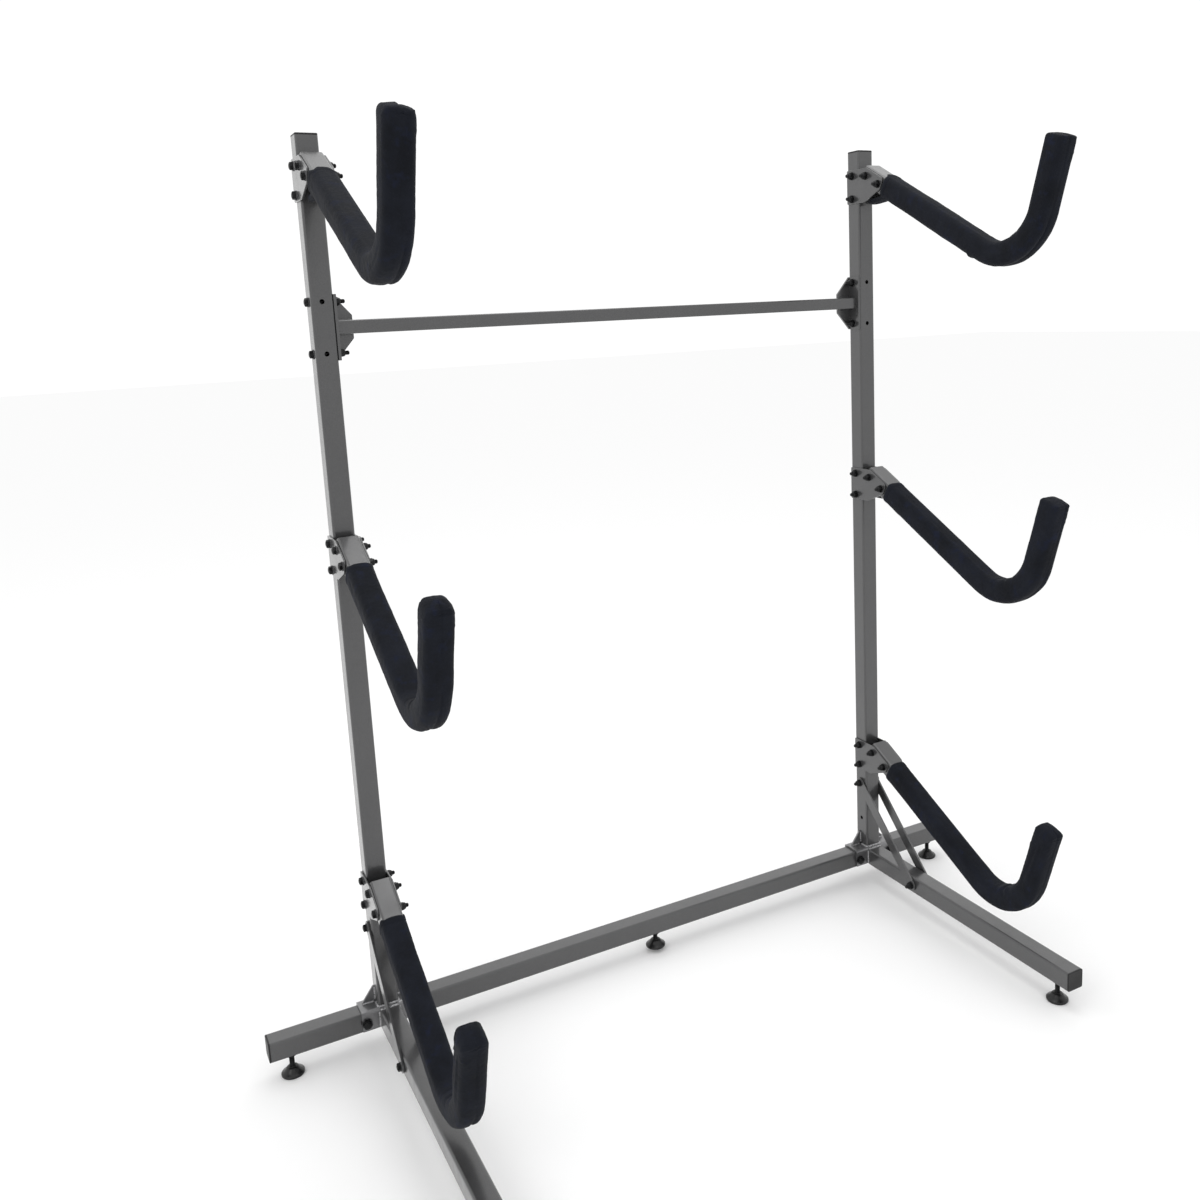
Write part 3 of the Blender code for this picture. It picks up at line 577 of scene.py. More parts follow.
def single_bolts():
    """Bolts of the upper crossbar, the struts and the base."""
    strut_face = HALF + GAP + STRUT_PLATE
    strut_size = (*M8, 2 * strut_face)
    end_size = (*M8, TUBE + GAP + END_PLATE)
    base_size = (*M10, 2 * SADDLE_FACE)
    back = Matrix.Rotation(-math.pi / 2, 4, "X")
    turn, turn_step = SINGLE_BOLT_TURNS
    for side, sign in SIDES.items():
        post = sign * POST_X
        rows = []
        for which, shift in (("upper", 1), ("lower", -1)):
            level = CROSSBAR_LEVEL + shift * CROSSBAR_BOLT_SPACING / 2
            place = across_frame(post + sign * HALF, POST_Y, level, -sign)
            rows.append(("crossbar_bolt_" + which, place, end_size, CROSSBAR_BOLT_THREADS))
        for which, ahead, level in (("top", 0, STRUT_TOP), ("bottom", STRUT_FOOT, BAR_LEVEL)):
            place = across_frame(post + sign * strut_face, POST_Y - ahead, level, -sign)
            rows.append(("strut_bolt_" + which, place, strut_size, BOLT_THREADS))
        for which, shift in (("outer", sign), ("inner", -sign)):
            x = post + shift * SADDLE_BOLT_SPACING / 2
            place = Matrix.Translation((x, POST_Y - SADDLE_FACE, BAR_LEVEL)) @ back
            rows.append(("base_bolt_" + which, place, base_size, BOLT_THREADS))
        for which, place, size, threads in rows:
            screw = Shape()
            turn += turn_step
            bolt(screw, place, size, turn, threads)
            made = screw.piece(side + "_" + which + "_dressed", [ZINC, BRIGHT])
            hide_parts(side + "_" + which)


STRUT_END_STEPS = 16


def struts():
    """Flat bars from the posts to the foot beams, with rounded ends and broken edges."""
    top = Vector((0, STRUT_TOP))
    foot = Vector((STRUT_FOOT, BAR_LEVEL))
    heading = math.atan2(top.y - foot.y, top.x - foot.x)
    outline = []
    for centre, start in ((top, heading - math.pi / 2), (foot, heading + math.pi / 2)):
        for step in range(STRUT_END_STEPS + 1):
            angle = start + math.pi * step / STRUT_END_STEPS
            outline.append(centre + STRUT_WIDTH / 2 * Vector((math.cos(angle), math.sin(angle))))
    for side, sign in SIDES.items():
        for which, direction in (("outer", sign), ("inner", -sign)):
            node = side + "_" + which + "_strut"
            plate(node + "_bar", node, outline, side, "floor", direction, STRUT_PLATE, 0.0006)


# Levelling feet: pad and collar as (radius, height), points round the axis, and the stud's thread
FOOT_PROFILE = ((0.0190, 0.0), (0.0212, 0.0004), (0.0220, 0.0014), (0.0220, 0.0042), (0.0213, 0.0051),
                (0.0196, 0.0061), (0.0172, 0.0079), (0.0149, 0.0102), (0.0127, 0.0127), (0.0109, 0.0150),
                (0.0095, 0.0160), (0.0074, 0.0162), (0.0070, 0.0166), (0.0070, 0.0178), (0.0066, 0.0182))
FOOT_POINTS = 40
STUD_PITCH = 0.0015
STUD_ROOT = 0.87
STUD_TIP = 0.8


def feet():
    """Levelling feet: turned pad, collar and threaded stud."""
    for name in FEET:
        low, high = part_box(name)
        centre = Matrix.Translation(((low.x + high.x) / 2, (low.y + high.y) / 2, low.z))
        rows = list(FOOT_PROFILE)
        height = FOOT_PROFILE[-1][1]
        stud_top = high.z - low.z
        while height + STUD_PITCH < stud_top:
            rows += [(STUD / 2 * STUD_ROOT, height), (STUD / 2, height + STUD_PITCH / 2)]
            height += STUD_PITCH
        rows.append((STUD / 2 * STUD_TIP, stud_top))
        kinds = [0] * (len(FOOT_PROFILE) - 1) + [1] * (len(rows) - len(FOOT_PROFILE))
        foot = Shape()
        foot.stack([[centre @ p for p in circle(radius, z, FOOT_POINTS)] for radius, z in rows], kinds)
        made = foot.piece(name + "_turned", [FOOT_BLACK, ZINC], name)
        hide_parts(name)


# Section of the coat's rim round an open hole, as (radius, height over the tube's face)
RIM_PROFILE = ((0.0044, -0.0016), (0.0044, -0.0002), (0.0047, 0.00012), (0.0051, 0.00012),
               (0.0056, -0.0002), (0.0056, -0.0016))


def hole_rims():
    """Rounded rims of coat in the open holes of the posts."""
    half = CROSSBAR_BOLT_SPACING / 2
    for side, sign in SIDES.items():
        spots = []
        for level in (CROSSBAR_LEVEL - half, CROSSBAR_LEVEL + half):
            for face in (-1, 1):
                turn = Matrix.Rotation(-face * math.pi / 2, 4, "X")
                spots.append(Matrix.Translation((sign * POST_X, POST_Y + face * HALF, level)) @ turn)
        spots.append(across_frame(sign * (POST_X - HALF), POST_Y, SPARE_HOLE_LEVEL, -sign))
        rims = Shape()
        for spot in spots:
            rings = [rims.ring([spot @ p for p in circle(r, z)]) for r, z in RIM_PROFILE]
            for low, high in zip(rings, rings[1:] + rings[:1]):
                rims.bridge(low, high)
        rims.piece(side + "_hole_rims", [PAINT])


# Weld beads: radii, step along a bead, length of a scale, points round it and shading angle
BEAD = 0.0026
THIN_BEAD = BEAD * 0.8
NUT_BEAD = 0.0016
BEAD_STEP = 0.0009
SCALE_LENGTH = 0.0034
BEAD_POINTS = 10
BEAD_ANGLE = 60


def bead(shape, start, end, radius, seed):
    """Weld bead between two points, a row of overlapping scales."""
    start = Vector(start)
    end = Vector(end)
    along = (end - start).normalized()
    side = along.orthogonal().normalized()
    up = along.cross(side)
    length = (end - start).length
    count = max(6, int(length / BEAD_STEP))
    turns = [2 * math.pi * k / BEAD_POINTS for k in range(BEAD_POINTS)]
    rings = []
    for i in range(count + 1):
        run = i / count * length
        scale = abs(math.sin(math.pi * run / SCALE_LENGTH + seed))
        size = radius * (0.84 + 0.22 * scale + 0.12 * noise.noise(Vector((run * 160, seed * 3.7, 0.5))))
        ends = min(1.0, (min(run, length - run) + 0.0004) / radius)
        size *= math.sqrt(max(0.05, 1 - (1 - ends) ** 2))
        place = start + along * run
        rings.append([place + side * size * math.cos(t) + up * size * math.sin(t) for t in turns])
    shape.stack(rings)


def bead_piece(name, coat, rows):
    """One piece of weld beads, from rows of (start, end, radius, seed)."""
    shape = Shape()
    for row in rows:
        bead(shape, *row)
    shape.piece(name, [coat], angle=BEAD_ANGLE)


def side_welds(side, sign):
    """Beads round one post's foot and its gussets, at its foot beam and at the upper crossbar's end."""
    x = sign * POST_X
    y = POST_Y
    z = SADDLE_TOP + 0.0006
    edge = HALF + 0.0004
    gusset = y + GUSSET_OFFSET
    rows = [((x - HALF, y - edge, z), (x + HALF, y - edge, z), BEAD, 1.0),
            ((x - HALF, y + edge, z), (x + HALF, y + edge, z), BEAD, 2.0)]
    for d in (-1, 1):
        for y0, y1 in ((y - HALF, gusset - GUSSET_PLATE), (gusset + GUSSET_PLATE, y + HALF)):
            rows.append(((x + d * edge, y0, z), (x + d * edge, y1, z), BEAD, 3.0 + d))
        for face in (-1, 1):
            beside = gusset + face * (GUSSET_PLATE / 2 + 0.0002)
            near = (x + d * (HALF + 0.003), beside, z)
            far = (x + d * (HALF + GUSSET_REACH), beside, z)
            low = (x + d * edge, beside, z + 0.004)
            high = (x + d * edge, beside, z + GUSSET_RISE - 0.003)
            rows += [(near, far, THIN_BEAD, 5.0 + d), (low, high, THIN_BEAD, 7.0)]
    bead_piece(side + "_post_welds", WELD, rows)
    front = y - SADDLE_FACE - 0.0005
    top = BAR_LEVEL + HALF
    low = BAR_LEVEL - HALF + 0.004
    bead_piece(side + "_beam_welds", WELD, [
        ((x - HALF + 0.002, front, top), (x + HALF - 0.002, front, top), BEAD, 11.0),
        ((x - HALF, front, low), (x - HALF, front, top - 0.003), BEAD, 12.0),
        ((x + HALF, front, low), (x + HALF, front, top - 0.003), BEAD, 13.0)])
    leg = y + END_REAR - END_PLATE
    near = sign * (POST_X - HALF - GAP - END_PLATE - 0.002)
    far = sign * (POST_X - HALF - 0.036)
    bead_piece(side + "_crossbar_welds", PAINT, [
        ((near, leg, z0), (far, leg, z0), THIN_BEAD, 21.0 + z0)
        for z0 in (CROSSBAR_LEVEL - SLIM_TUBE / 2, CROSSBAR_LEVEL + SLIM_TUBE / 2)])


def nut_welds():
    """Short beads on four sides of each foot's weld nut."""
    rows = []
    for name in FEET:
        low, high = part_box(name)
        centre = Vector(((low.x + high.x) / 2, (low.y + high.y) / 2, BAR_UNDERSIDE - 0.0004))
        turns = [math.pi / 3 * (k + 0.5) for k in range(6)]
        corners = [centre + 0.0098 * Vector((math.cos(t), math.sin(t), 0)) for t in turns]
        for k in (0, 2, 3, 5):
            first = corners[k]
            second = corners[(k + 1) % 6]
            rows.append((first.lerp(second, 0.08), first.lerp(second, 0.92), NUT_BEAD, 31.0 + k))
    bead_piece("nut_welds", PAINT, rows)


# Grids of the sleeves and of the simulated cloth
SLEEVE_AROUND = 56
SLEEVE_STEP = 0.0030
TIP_STEP = 0.0011
TIP_STEPS = 18
CLOTH_AROUND = 40
CLOTH_STEP = 0.0055
BEND_STEPS = 15

# The simulation: its length, its longest move, and how much narrower than the pad cloth and foam are
CLOTH_FRAMES = 22
CLOTH_REACH = 0.0055
CLOTH_INSET = 0.0022
FOAM_INSET = 0.0065
FOAM_RINGS = 120

# The sleeve: its skin, its bore, its least thickness, its mouth and its end
SKIN = PAD_WIDTH / 2
SKIN_INSET = 0.0010
BORE = HALF + 2 * GAP
BORE_CORNER = 0.005
CLOTH_MINIMUM = 0.0005
PLAIN_MOUTH = 0.096
MOUTH_BLEND = 0.060
BORE_DEPTHS = (0.0, 0.003, 0.010, 0.025, 0.060, 0.12, 0.20)
SLEEVE_END = ARM_END + GAP + PAD_TIP

# The closed tip: rounding, crown, length of its ramp, and its rings in degrees and in shares of its width
TIP_ROUND = 0.0080
TIP_CROWN = 0.0028
TIP_RAMP = 0.050
TIP_DEGREES = (20, 40, 58, 74, 86)
TIP_SHARES = (0.97, 0.93, 0.88, 0.82, 0.74, 0.64, 0.52, 0.38, 0.22, 0.08)

# The flap under some arms: where it starts and how low it hangs
FLAP_END = 0.034
FLAP_LEVEL = -0.074

# One row for each arm: the mouth's place on the top's middle, its edges and elsewhere, the seam's place,
# the tip's roundings, crown and notch, the drop beyond the notch, a bump before the bend, whether a flap
# hangs under the arm, how sharply the bend is pinched, and a seed
SLEEVE_FIELDS = ("middle", "edge", "rest", "seam", "tip_round", "side_round", "inner_round", "crown",
                 "notch", "notch_at", "drop", "bump", "flap", "pinch", "seed")
SLEEVES = {
    ("left", "top"): (
        0.099, 0.108, 0.100, 0.0095, 0.006, 0.009, 0.003, 0.0030, 0.0034, 0.0035, 0.003, 0, 1, 0.3, 1),
    ("left", "middle"): (
        0.105, 0.106, 0.102, 0.001, 0.003, 0.014, 0.006, 0.0075, 0.001, 0.001, 0, 0, 0, 0.8, 2),
    ("left", "bottom"): (
        0.110, 0.111, 0.106, 0.004, 0.003, 0.014, 0.006, 0.0080, 0.002, 0.006, 0.001, 0, 0, 0.6, 3),
    ("right", "top"): (
        0.083, 0.093, 0.094, -0.003, 0.003, 0.005, 0.013, 0.0030, 0.0008, -0.003, 0, 0.0032, 1, 0.3, 4),
    ("right", "middle"): (
        0.093, 0.093, 0.095, 0.005, 0.004, 0.008, 0.005, 0.0030, 0.001, 0.005, 0, 0, 0, 0.5, 5),
    ("right", "bottom"): (
        0.093, 0.094, 0.096, -0.001, 0.003, 0.013, 0.007, 0.0075, 0.001, -0.001, 0, 0, 0, 1.3, 6),
}


def tip_rings(step, tip_round=TIP_ROUND, fine=0):
    """Rings from the mouth over the rounded tip: their lengths and how far each section shrinks."""
    last = SLEEVE_END - tip_round - fine * TIP_STEP
    count = int((last - PLAIN_MOUTH) / step)
    lengths = list(np.linspace(PLAIN_MOUTH, last, count)) + [last + (k + 1) * TIP_STEP for k in range(fine)]
    shrink = [1.0] * len(lengths)
    for degrees in TIP_DEGREES:
        angle = math.radians(degrees)
        lengths.append(SLEEVE_END - tip_round * (1 - math.sin(angle)))
        shrink.append(1 - tip_round * (1 - math.cos(angle)) / SKIN)
    for share in TIP_SHARES:
        lengths.append(SLEEVE_END + TIP_CROWN * (1 - share ** 2) * 0.9)
        shrink.append(share * (1 - tip_round / SKIN))
    return np.array(lengths), np.array(shrink)


def grid_mesh(name, grid):
    """Mesh of a grid of rings; its end is closed by one face."""
    shape = Shape()
    rings = [shape.ring(ring) for ring in grid]
    for low, high in zip(rings, rings[1:]):
        shape.bridge(low, high)
    shape.cap(rings[-1])
    mesh = bpy.data.meshes.new(name)
    mesh.from_pydata(shape.points, [], shape.faces)
    return placed(name, mesh)


def foam_core():
    """Foam of one arm, which the cloth can't enter."""
    points, _ = rounded_section(PAD_WIDTH - FOAM_INSET, PAD_CORNER - 0.002, CLOTH_AROUND)
    lengths = np.linspace(PLAIN_MOUTH - 0.02, SLEEVE_END - 0.003, FOAM_RINGS)[:, None]
    flat = np.ones((FOAM_RINGS, 1))
    s = np.repeat(lengths, CLOTH_AROUND, 1)
    foam = grid_mesh("foam", arm_points(s, points[:, 0] * flat, points[:, 1] * flat))
    foam.modifiers.new("foam", "COLLISION")
    foam.collision.thickness_outer = 0.0008
    return foam


def drape(seed):
    """Simulate a slack cloth tube over the foam of one arm; gives the moves of its points."""
    lengths, shrink = tip_rings(CLOTH_STEP)
    points, _ = rounded_section(PAD_WIDTH - CLOTH_INSET, PAD_CORNER, CLOTH_AROUND)
    s = np.repeat(lengths[:, None], CLOTH_AROUND, 1)
    across = points[:, 0] * shrink[:, None]
    inward = points[:, 1] * shrink[:, None]
    start = arm_points(s, across, inward)
    cloth = grid_mesh("draping", start)
    cloth.shape_key_add(name="Basis")
    # The cloth is cut a little too wide and long, on a wider bend, so that it sags and folds
    cut = cloth.shape_key_add(name="cut")
    wobble = [0.0006 * noise.noise(Vector(p) * 60 + Vector((seed, seed, 0))) for p in start.reshape(-1, 3)]
    relaxed = arm_points(s, across * 1.035, inward * 1.035, 0.55) * 1.03
    cut.data.foreach_set("co", (relaxed.reshape(-1, 3) + np.array(wobble)[:, None]).ravel())
    cut.value = 0.0
    held = cloth.vertex_groups.new(name="held")
    held.add(range(2 * CLOTH_AROUND), 1.0, "REPLACE")
    foam = foam_core()
    modifier = cloth.modifiers.new("cloth", "CLOTH")
    settings = modifier.settings
    settings.quality = 7
    settings.mass = 0.2
    settings.tension_stiffness = 12
    settings.compression_stiffness = 12
    settings.shear_stiffness = 4
    settings.bending_stiffness = 0.15
    settings.air_damping = 3.0
    settings.rest_shape_key = cut
    settings.vertex_group_mass = "held"
    settings.use_pressure = True
    settings.uniform_pressure_force = 1.2
    settings.effector_weights.gravity = 0.35
    modifier.collision_settings.distance_min = 0.0008
    modifier.collision_settings.collision_quality = 3
    modifier.point_cache.frame_start = 1
    modifier.point_cache.frame_end = CLOTH_FRAMES
    scene = bpy.context.scene
    for number in range(1, CLOTH_FRAMES + 1):
        scene.frame_set(number)
    seen = cloth.evaluated_get(bpy.context.evaluated_depsgraph_get())
    found = np.empty(start.size)
    seen.data.vertices.foreach_get("co", found)
    moved = found.reshape(start.shape) - start
    reach = np.linalg.norm(moved, axis=-1, keepdims=True)
    moved *= np.minimum(1.0, CLOTH_REACH / np.maximum(reach, 1e-9))
    bpy.data.objects.remove(cloth)
    bpy.data.objects.remove(foam)
    scene.frame_set(1)
    return moved


def cubic(data, at, wrap):
    """Rows of data read at places between them, by cubic curves; the rows may close to a ring."""
    low = np.floor(at).astype(int)
    t = (at - low).reshape((-1,) + (1,) * (data.ndim - 1))
    picks = []
    for shift in (-1, 0, 1, 2):
        index = low + shift
        index = index % len(data) if wrap else np.clip(index, 0, len(data) - 1)
        picks.append(data[index])
    a, b, c, d = picks
    return b + t / 2 * (c - a + t * (2 * a - 5 * b + 4 * c - d + t * (3 * (b - c) + d - a)))


def finer(values, rows, around):
    """Values of a grid of rings, read on a finer grid."""
    grown = cubic(values, rows, False)
    return cubic(grown.swapaxes(0, 1), around, True).swapaxes(0, 1)


def noise_at(places, scale, seed):
    """Noise at each place of a grid."""
    shift = Vector((seed * 7.31, seed * 3.17, seed * 1.93))
    flat = [noise.noise(Vector(p) * scale + shift) for p in places.reshape(-1, 3)]
    return np.array(flat).reshape(places.shape[:-1])


def bell(value, width):
    """Smooth bump of height 1 and the given width."""
    return np.exp(-(value / width) ** 2)


def kept_outside(grid, s):
    """Grid whose points stay clear of the arm's tube, at lengths s along its axis."""
    place, inside = arm_axis(s)
    beside = grid[..., 0]
    inward = (-grid[..., 1] - place[..., 0]) * inside[..., 0]
    inward = inward + (grid[..., 2] - place[..., 1]) * inside[..., 1]
    wide = BORE + CLOTH_MINIMUM
    corner = BORE_CORNER + CLOTH_MINIMUM
    over = np.maximum(np.stack([np.abs(beside), np.abs(inward)], -1) - (wide - corner), 0)
    reach = np.maximum(np.linalg.norm(over, axis=-1), 1e-9)
    missing = np.where(s < ARM_END, np.maximum(corner - reach, 0), 0) / reach
    push = over * missing[..., None] * np.sign(np.stack([beside, inward], -1))
    back = -push[..., 1] * inside[..., 0]
    up = push[..., 1] * inside[..., 1]
    return grid + np.stack([push[..., 0], back, up], -1)


def rounding(beside, radius):
    """How far the tip's end falls away beside its middle, for an edge of the given radius."""
    over = np.clip(beside - (SKIN - 0.0004 - radius), 0, radius * 0.999)
    return radius - np.sqrt(radius * radius - over * over)


def rounded_tip(given, s, x, y, shrink):
    """Lengths at which the sleeve's points lie once its tip is rounded, crowned and notched."""
    near_tip = smooth(s, SLEEVE_END - 0.020, SLEEVE_END - 0.001)
    lowered = given["drop"] * smooth(x, given["notch_at"] - 0.001, given["notch_at"] + 0.004)
    in_middle = np.clip(1 - shrink, 0, 1) ** 0.5
    lift = (given["crown"] - TIP_CROWN) * in_middle * near_tip
    across = x * shrink
    inward = y * shrink
    fall = np.maximum(rounding(np.abs(across), given["side_round"]), rounding(inward, given["inner_round"]))
    fall *= np.clip((s - SLEEVE_END + TIP_RAMP) / (TIP_RAMP - given["tip_round"]), 0, 1) ** 1.5
    ahead = s - fall + lift - lowered * near_tip
    over_tube = (np.maximum(np.abs(across), np.abs(inward)) < BORE + CLOTH_MINIMUM) & (shrink < 0.999)
    return np.where(over_tube, np.maximum(ahead, ARM_END + 2 * GAP + CLOTH_MINIMUM), ahead)


def draped(lengths, s, mouth, moved):
    """The cloth's moves on the sleeve's grid, held back at its mouth and near its tip."""
    cloth_lengths, _ = tip_rings(CLOTH_STEP)
    rows = np.interp(lengths, cloth_lengths, np.arange(len(cloth_lengths)))
    turns = np.arange(SLEEVE_AROUND) * CLOTH_AROUND / SLEEVE_AROUND
    body = 1 - 0.85 * smooth(s, SLEEVE_END - 0.055, SLEEVE_END - 0.015)
    hold = smooth(s, mouth + 0.004, mouth + 0.030) * body
    return finer(moved, rows, turns) * hold[..., None]


def away_from_axis(base, s):
    """Normals of the sleeve's grid, pointing away from the arm's axis."""
    tangent_along = np.gradient(base, axis=0)
    tangent_round = np.roll(base, -1, 1) - np.roll(base, 1, 1)
    normal = np.cross(tangent_round, tangent_along)
    normal /= np.maximum(np.linalg.norm(normal, axis=-1, keepdims=True), 1e-9)
    centre = arm_points(s, s * 0, s * 0)
    flip = np.sign(np.sum(normal * (base - centre), -1, keepdims=True))
    return normal * np.where(flip == 0, 1, flip)


def hanging(grid, s, x, below, given, raised=0.0):
    """Grid with the flap of the sleeve let down between the bracket plates."""
    level = FLAP_LEVEL + raised + 0.0015 * np.sin(x * 260 + given["seed"]) + 0.0010 * np.sin(s * 90)
    drop = np.maximum(grid[..., 2] - level, 0) * given["flap"] * below * (1 - smooth(s, 0.086, 0.112))
    return grid - np.stack([s * 0, s * 0, drop], -1)


def mouth_line(given, x, y, below):
    """Length along the arm at which the sleeve's mouth lies, all the way round."""
    on_top = smooth(y, SKIN - 0.0070, SKIN - 0.0025)
    beside = smooth(np.abs(x), 0.004, 0.016)
    top_mouth = given["middle"] + (given["edge"] - given["middle"]) * beside ** 2
    mouth = given["rest"] + on_top * (top_mouth - given["rest"])
    if given["flap"]:
        mouth = mouth - below * (given["rest"] - FLAP_END)
    return mouth


def seam_relief(given, base, s, x, outer):
    """Closing seam on the outer face: a groove between two lips, its stitches, and lobes round the bend."""
    seed = given["seed"]
    bend = smooth(s, ARM_STRAIGHT - 0.015, ARM_STRAIGHT + 0.05)
    bend = bend * (1 - smooth(s, ARM_ARC_END - 0.05, ARM_ARC_END + 0.015))
    off_seam = x - (given["seam"] + 0.0012 * np.sin(s * 21 + seed))
    seam_depth = 0.0011 + 0.0015 * bend
    groove = -seam_depth * bell(off_seam, 0.0011 + 0.0009 * bend) * outer ** 0.5
    lips = 0.0004 * (bell(off_seam - 0.0034, 0.0016) + bell(off_seam + 0.0034, 0.0016)) * outer
    swell = bell(np.abs(off_seam) - 0.010, 0.006) + 0.6 * noise_at(base, 30, seed + 2)
    lobes = 0.0010 * bend * outer * swell
    stitch = -0.00035 * bell(off_seam + 0.0070, 0.0007) * outer
    return groove + lips + lobes + stitch


def fold_relief(given, s, x, inner):
    """Folds that the bend pinches into the inner face."""
    seed = given["seed"]
    pinch = given["pinch"]
    off_middle = s - ((ARM_STRAIGHT + ARM_ARC_END) / 2 - 0.006 + 0.004 * math.sin(seed * 2.3))
    folds = -0.0024 * pinch * bell(off_middle - 0.0018 * np.sin(x * 190 + seed), 0.0042)
    folds += 0.0012 * pinch * (bell(off_middle - 0.012, 0.006) + bell(off_middle + 0.012, 0.006))
    folds += -0.0009 * bell(off_middle + 0.030 + 0.003 * np.sin(x * 120 + seed * 2), 0.003)
    folds += -0.0009 * bell(off_middle - 0.028 + 0.003 * np.sin(x * 140 + seed * 3), 0.003)
    return folds * inner ** 0.7


def tip_relief(given, base, s, x, outer):
    """Sewn rim of the tip, its pucker and the gathered notch."""
    seed = given["seed"]
    to_tip = SLEEVE_END - s
    near_rim = to_tip - given["tip_round"] - 0.0028 - 0.0006 * np.sin(x * 150 + seed)
    rim = -0.0012 * bell(near_rim, 0.0011) + 0.0006 * bell(near_rim - 0.0030, 0.0015)
    rim = rim * outer * bell(x - 0.003, 0.013)
    pucker = 0.0007 * noise_at(base, 85, seed + 4) * bell(to_tip - 0.006, 0.010)
    gather = -given["notch"] * bell(x - given["notch_at"], 0.0030) * outer * bell(to_tip - 0.003, 0.009)
    return rim + pucker + gather


def relief(given, base, s, points, normals, mouth):
    """Height of the cloth over the foam: slack, crown, hem, seam, folds, tip and a bump before the bend."""
    seed = given["seed"]
    x = points[:, 0]
    outer = np.clip(-normals[:, 1], 0, 1)
    inner = np.clip(normals[:, 1], 0, 1)
    slack = 0.0008 * noise_at(base, 18, seed) + 0.0002 * noise_at(base, 60, seed + 0.3)
    slack += 0.0003 * noise_at(base, 150, seed + 0.5)
    crown = 0.0005 * (1 - np.abs(points[:, 1] * x) / (SKIN * SKIN) * 2)
    from_mouth = s - mouth
    hem = 0.0006 * (1 - smooth(from_mouth, 0.010, 0.0135)) - 0.0005 * bell(from_mouth - 0.0125, 0.0012)
    lip = -0.0010 * bell(from_mouth, 0.0018)
    bump = given["bump"] * bell(s - ARM_STRAIGHT + 0.022, 0.0055) * outer
    sewn = seam_relief(given, base, s, x, outer) + tip_relief(given, base, s, x, outer)
    return slack + crown + hem + lip + sewn + fold_relief(given, s, x, inner) + bump


def bore_rings(given, x, mouth, below):
    """Rings of the sleeve's inner face, from its mouth to its end over the tube's end."""
    bore, _ = rounded_section(2 * BORE, BORE_CORNER, SLEEVE_AROUND)
    rows = [mouth + 0.0008 + depth * (1 - (mouth - PLAIN_MOUTH) / 0.3) for depth in BORE_DEPTHS]
    for length in (*np.linspace(ARM_STRAIGHT, ARM_ARC_END, BEND_STEPS), ARM_END + 2 * GAP):
        rows.append(np.full_like(mouth, length))
    s = np.array(rows)
    grid = arm_points(s, bore[:, 0] + s * 0, bore[:, 1] + s * 0)
    return hanging(grid, s, x, below, given, 0.0025)


def sleeve(side, level, row, moved):
    """Padded sleeve of one arm: cloth over foam with a hem, a seam, a pinched bend and a sewn tip."""
    given = dict(zip(SLEEVE_FIELDS, row))
    lengths, shrink = tip_rings(SLEEVE_STEP, given["tip_round"], TIP_STEPS)
    shrink = shrink[:, None]
    points, normals = rounded_section(PAD_WIDTH - SKIN_INSET, PAD_CORNER, SLEEVE_AROUND)
    x = points[:, 0]
    y = points[:, 1]
    below = smooth(-y, SKIN - 0.0060, SKIN - 0.0030) * (1 - smooth(np.abs(x), 0.0135, 0.0170))
    mouth = mouth_line(given, x, y, below)
    early = np.clip((lengths - PLAIN_MOUTH) / MOUTH_BLEND, 0, 1)[:, None]
    s = lengths[:, None] + (mouth - PLAIN_MOUTH) * (1 - early) ** 2
    ahead = rounded_tip(given, s, x, y, shrink)
    base = arm_points(ahead, x * shrink, y * shrink) + draped(lengths, s, mouth, moved)
    height = relief(given, base, s, points, normals, mouth) * smooth(shrink, 0.0, 0.5)
    grid = kept_outside(base + away_from_axis(base, s) * height[..., None], ahead)
    grid = hanging(grid, s, x, below, given)
    origin = np.array((SIDES[side] * POST_X, POST_Y, LEVELS[level]))
    shape = Shape()
    outside = [shape.ring(ring + origin) for ring in grid]
    inside = [shape.ring(ring + origin) for ring in bore_rings(given, x, mouth, below)]
    for low, high in zip(outside, outside[1:]):
        shape.bridge(low, high)
    shape.cap(outside[-1])
    for low, high in zip(inside, inside[1:]):
        shape.bridge(high, low)
    shape.bridge(inside[0], outside[0])
    shape.cap(inside[-1])
    made = shape.piece(side + "_" + level + "_sleeve", [CLOTH], angle=180)
    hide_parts(side + "_" + level + "_pad")


def dress_nodes():
    """Materials and smooth shading for the CAD nodes that stay; the weld nuts under the tubes are dark."""
    for row in frame["record"]["subparts"]:
        name = row["node"]
        node = nodes[name]
        # The saddles take the lighter copy of the coat, a painted highlight.
        chosen = SADDLE_PAINTED_HIGHLIGHT if name.endswith("_saddle") else SLOT_MATERIALS[row["material_slot"]]
        node.data.materials.clear()
        node.data.materials.append(chosen)
        if name == "lower_crossbar" or name.endswith("_foot_beam"):
            node.data.materials.append(ZINC)
            for face in node.data.polygons:
                face.material_index = int((node.matrix_world @ face.center).z < BAR_UNDERSIDE - GAP)
        node.data.shade_smooth()
        node.data.set_sharp_from_angle(angle=math.radians(40))


# Soft lights: name, place, watts, width and colour
LAMPS = (("key", (-3.6, -1.6, 3.2), 16.0, 1.6, (1.0, 0.99, 0.97)),
         ("top", (0.2, 0.4, 4.6), 34.0, 2.4, (1.0, 1.0, 1.0)))
LAMP_AIM = Vector((0, 0, 0.9))
FLOOR_REACH = 30.0


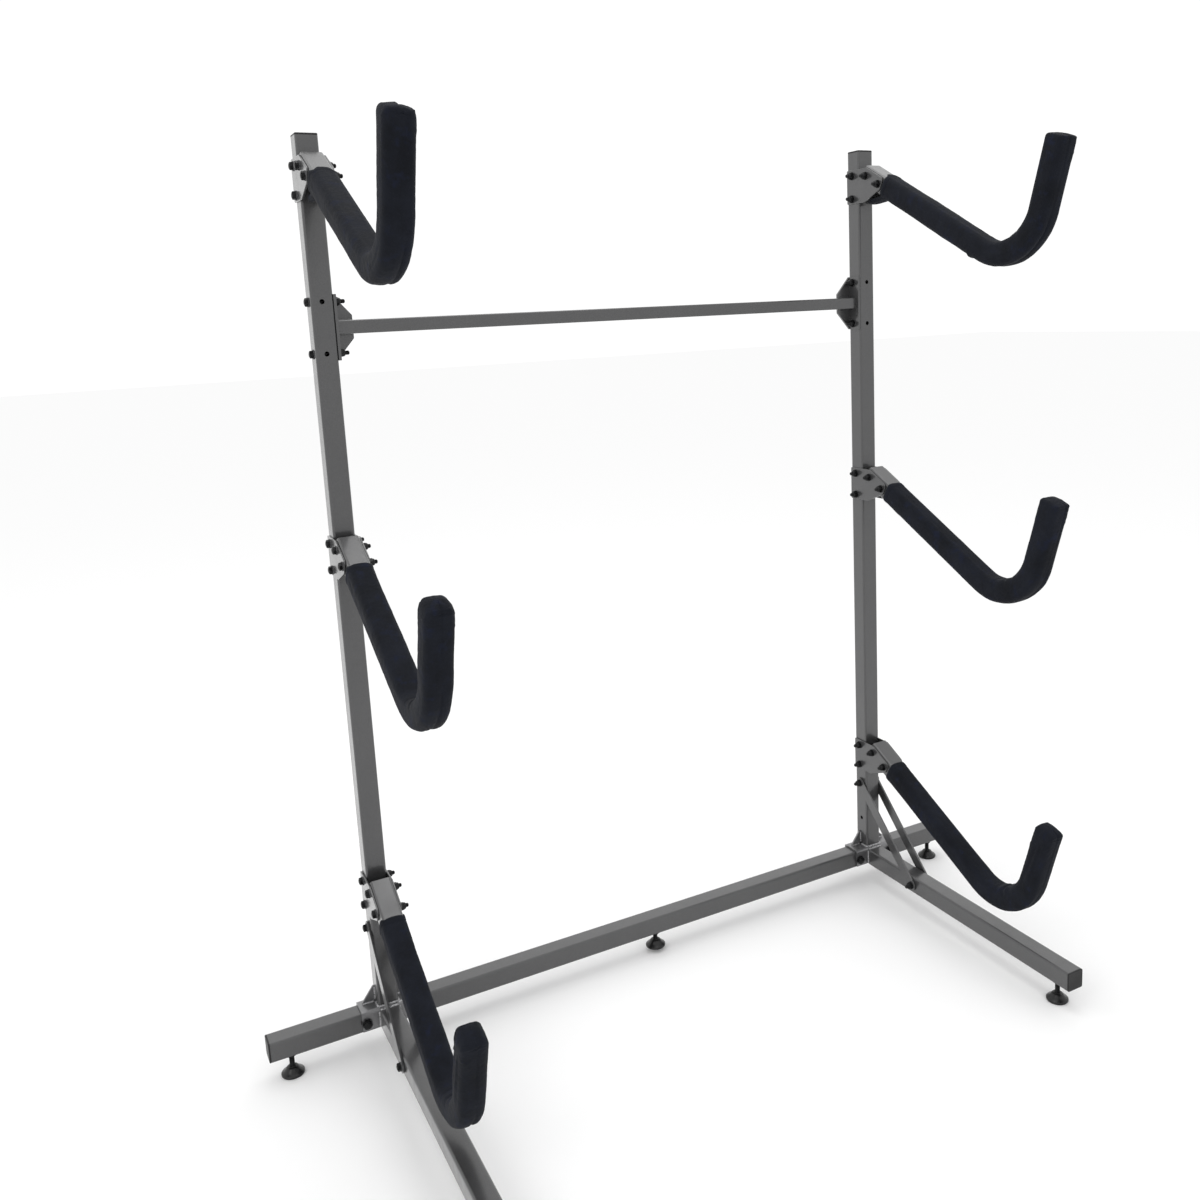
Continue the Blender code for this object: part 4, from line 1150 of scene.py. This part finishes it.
def studio():
    """Pale floor, lights and white surroundings."""
    mesh = bpy.data.meshes.new("studio_floor")
    corners = [(x * FLOOR_REACH, y * FLOOR_REACH, 0) for x, y in ((-1, -1), (1, -1), (1, 1), (-1, 1))]
    mesh.from_pydata(corners, [], [(0, 1, 2, 3)])
    floor = placed("studio_floor", mesh)
    pale = material("pale_floor", (0.92, 0.92, 0.92, 1), 0.9)
    give(pale.node_tree.nodes["Principled BSDF"], {"Specular IOR Level": 0.0})
    mesh.materials.append(pale)
    surroundings = bpy.data.worlds.new("studio")
    bpy.context.scene.world = surroundings
    surroundings.use_nodes = True
    give(surroundings.node_tree.nodes["Background"], {"Color": (1, 1, 1, 1), "Strength": 1.05})
    for name, spot, power, width, colour in LAMPS:
        lamp = bpy.data.lights.new(name, "AREA")
        lamp.energy = power
        lamp.size = width
        lamp.color = colour
        made = placed(name, lamp)
        made.location = spot
        made.rotation_euler = (LAMP_AIM - Vector(spot)).to_track_quat("-Z", "Y").to_euler()
    bpy.context.scene.view_settings.view_transform = "Standard"


# The photograph's camera
CAMERA_PLACE = (-1.0502, -2.0997 + POST_Y, 1.4332)
CAMERA_AZIMUTH = math.radians(-28.01)
CAMERA_ELEVATION = math.radians(10.08)
CAMERA_ROLL = math.radians(-2.545)
CAMERA_LENS = 33.81
CAMERA_SHIFT = (-0.0518, -0.0769)


def camera():
    """Camera fitted to the photograph's edges."""
    level = math.cos(CAMERA_ELEVATION)
    back = Vector((math.sin(CAMERA_AZIMUTH) * level, -math.cos(CAMERA_AZIMUTH) * level,
                   math.sin(CAMERA_ELEVATION)))
    right = Vector((math.cos(CAMERA_AZIMUTH), math.sin(CAMERA_AZIMUTH), 0))
    up = back.cross(right)
    tilted_right = right * math.cos(CAMERA_ROLL) + up * math.sin(CAMERA_ROLL)
    tilted_up = up * math.cos(CAMERA_ROLL) - right * math.sin(CAMERA_ROLL)
    data = bpy.data.cameras.new("photo_camera")
    data.sensor_width = 36.0
    data.lens = CAMERA_LENS
    data.shift_x, data.shift_y = CAMERA_SHIFT
    data.clip_end = 200.0
    made = placed("photo_camera", data)
    turn = Matrix((tilted_right, tilted_up, back)).transposed()
    made.matrix_world = Matrix.Translation(CAMERA_PLACE) @ turn.to_4x4()
    bpy.context.scene.camera = made


camera()
studio()
dress_nodes()
brackets()
single_bolts()
struts()
feet()
hole_rims()
for post_side, post_sign in SIDES.items():
    side_welds(post_side, post_sign)
nut_welds()

# Two simulated drapes, and the first one mirrored across the arm
drapes = [drape(1.0), drape(5.0)]
other_way = (CLOTH_AROUND // 2 - np.arange(CLOTH_AROUND)) % CLOTH_AROUND
drapes.append(drapes[0][:, other_way] * np.array((-1, 1, 1)))
for count, ((arm_side, arm_level), arm_row) in enumerate(SLEEVES.items()):
    sleeve(arm_side, arm_level, arm_row, drapes[count % len(drapes)])
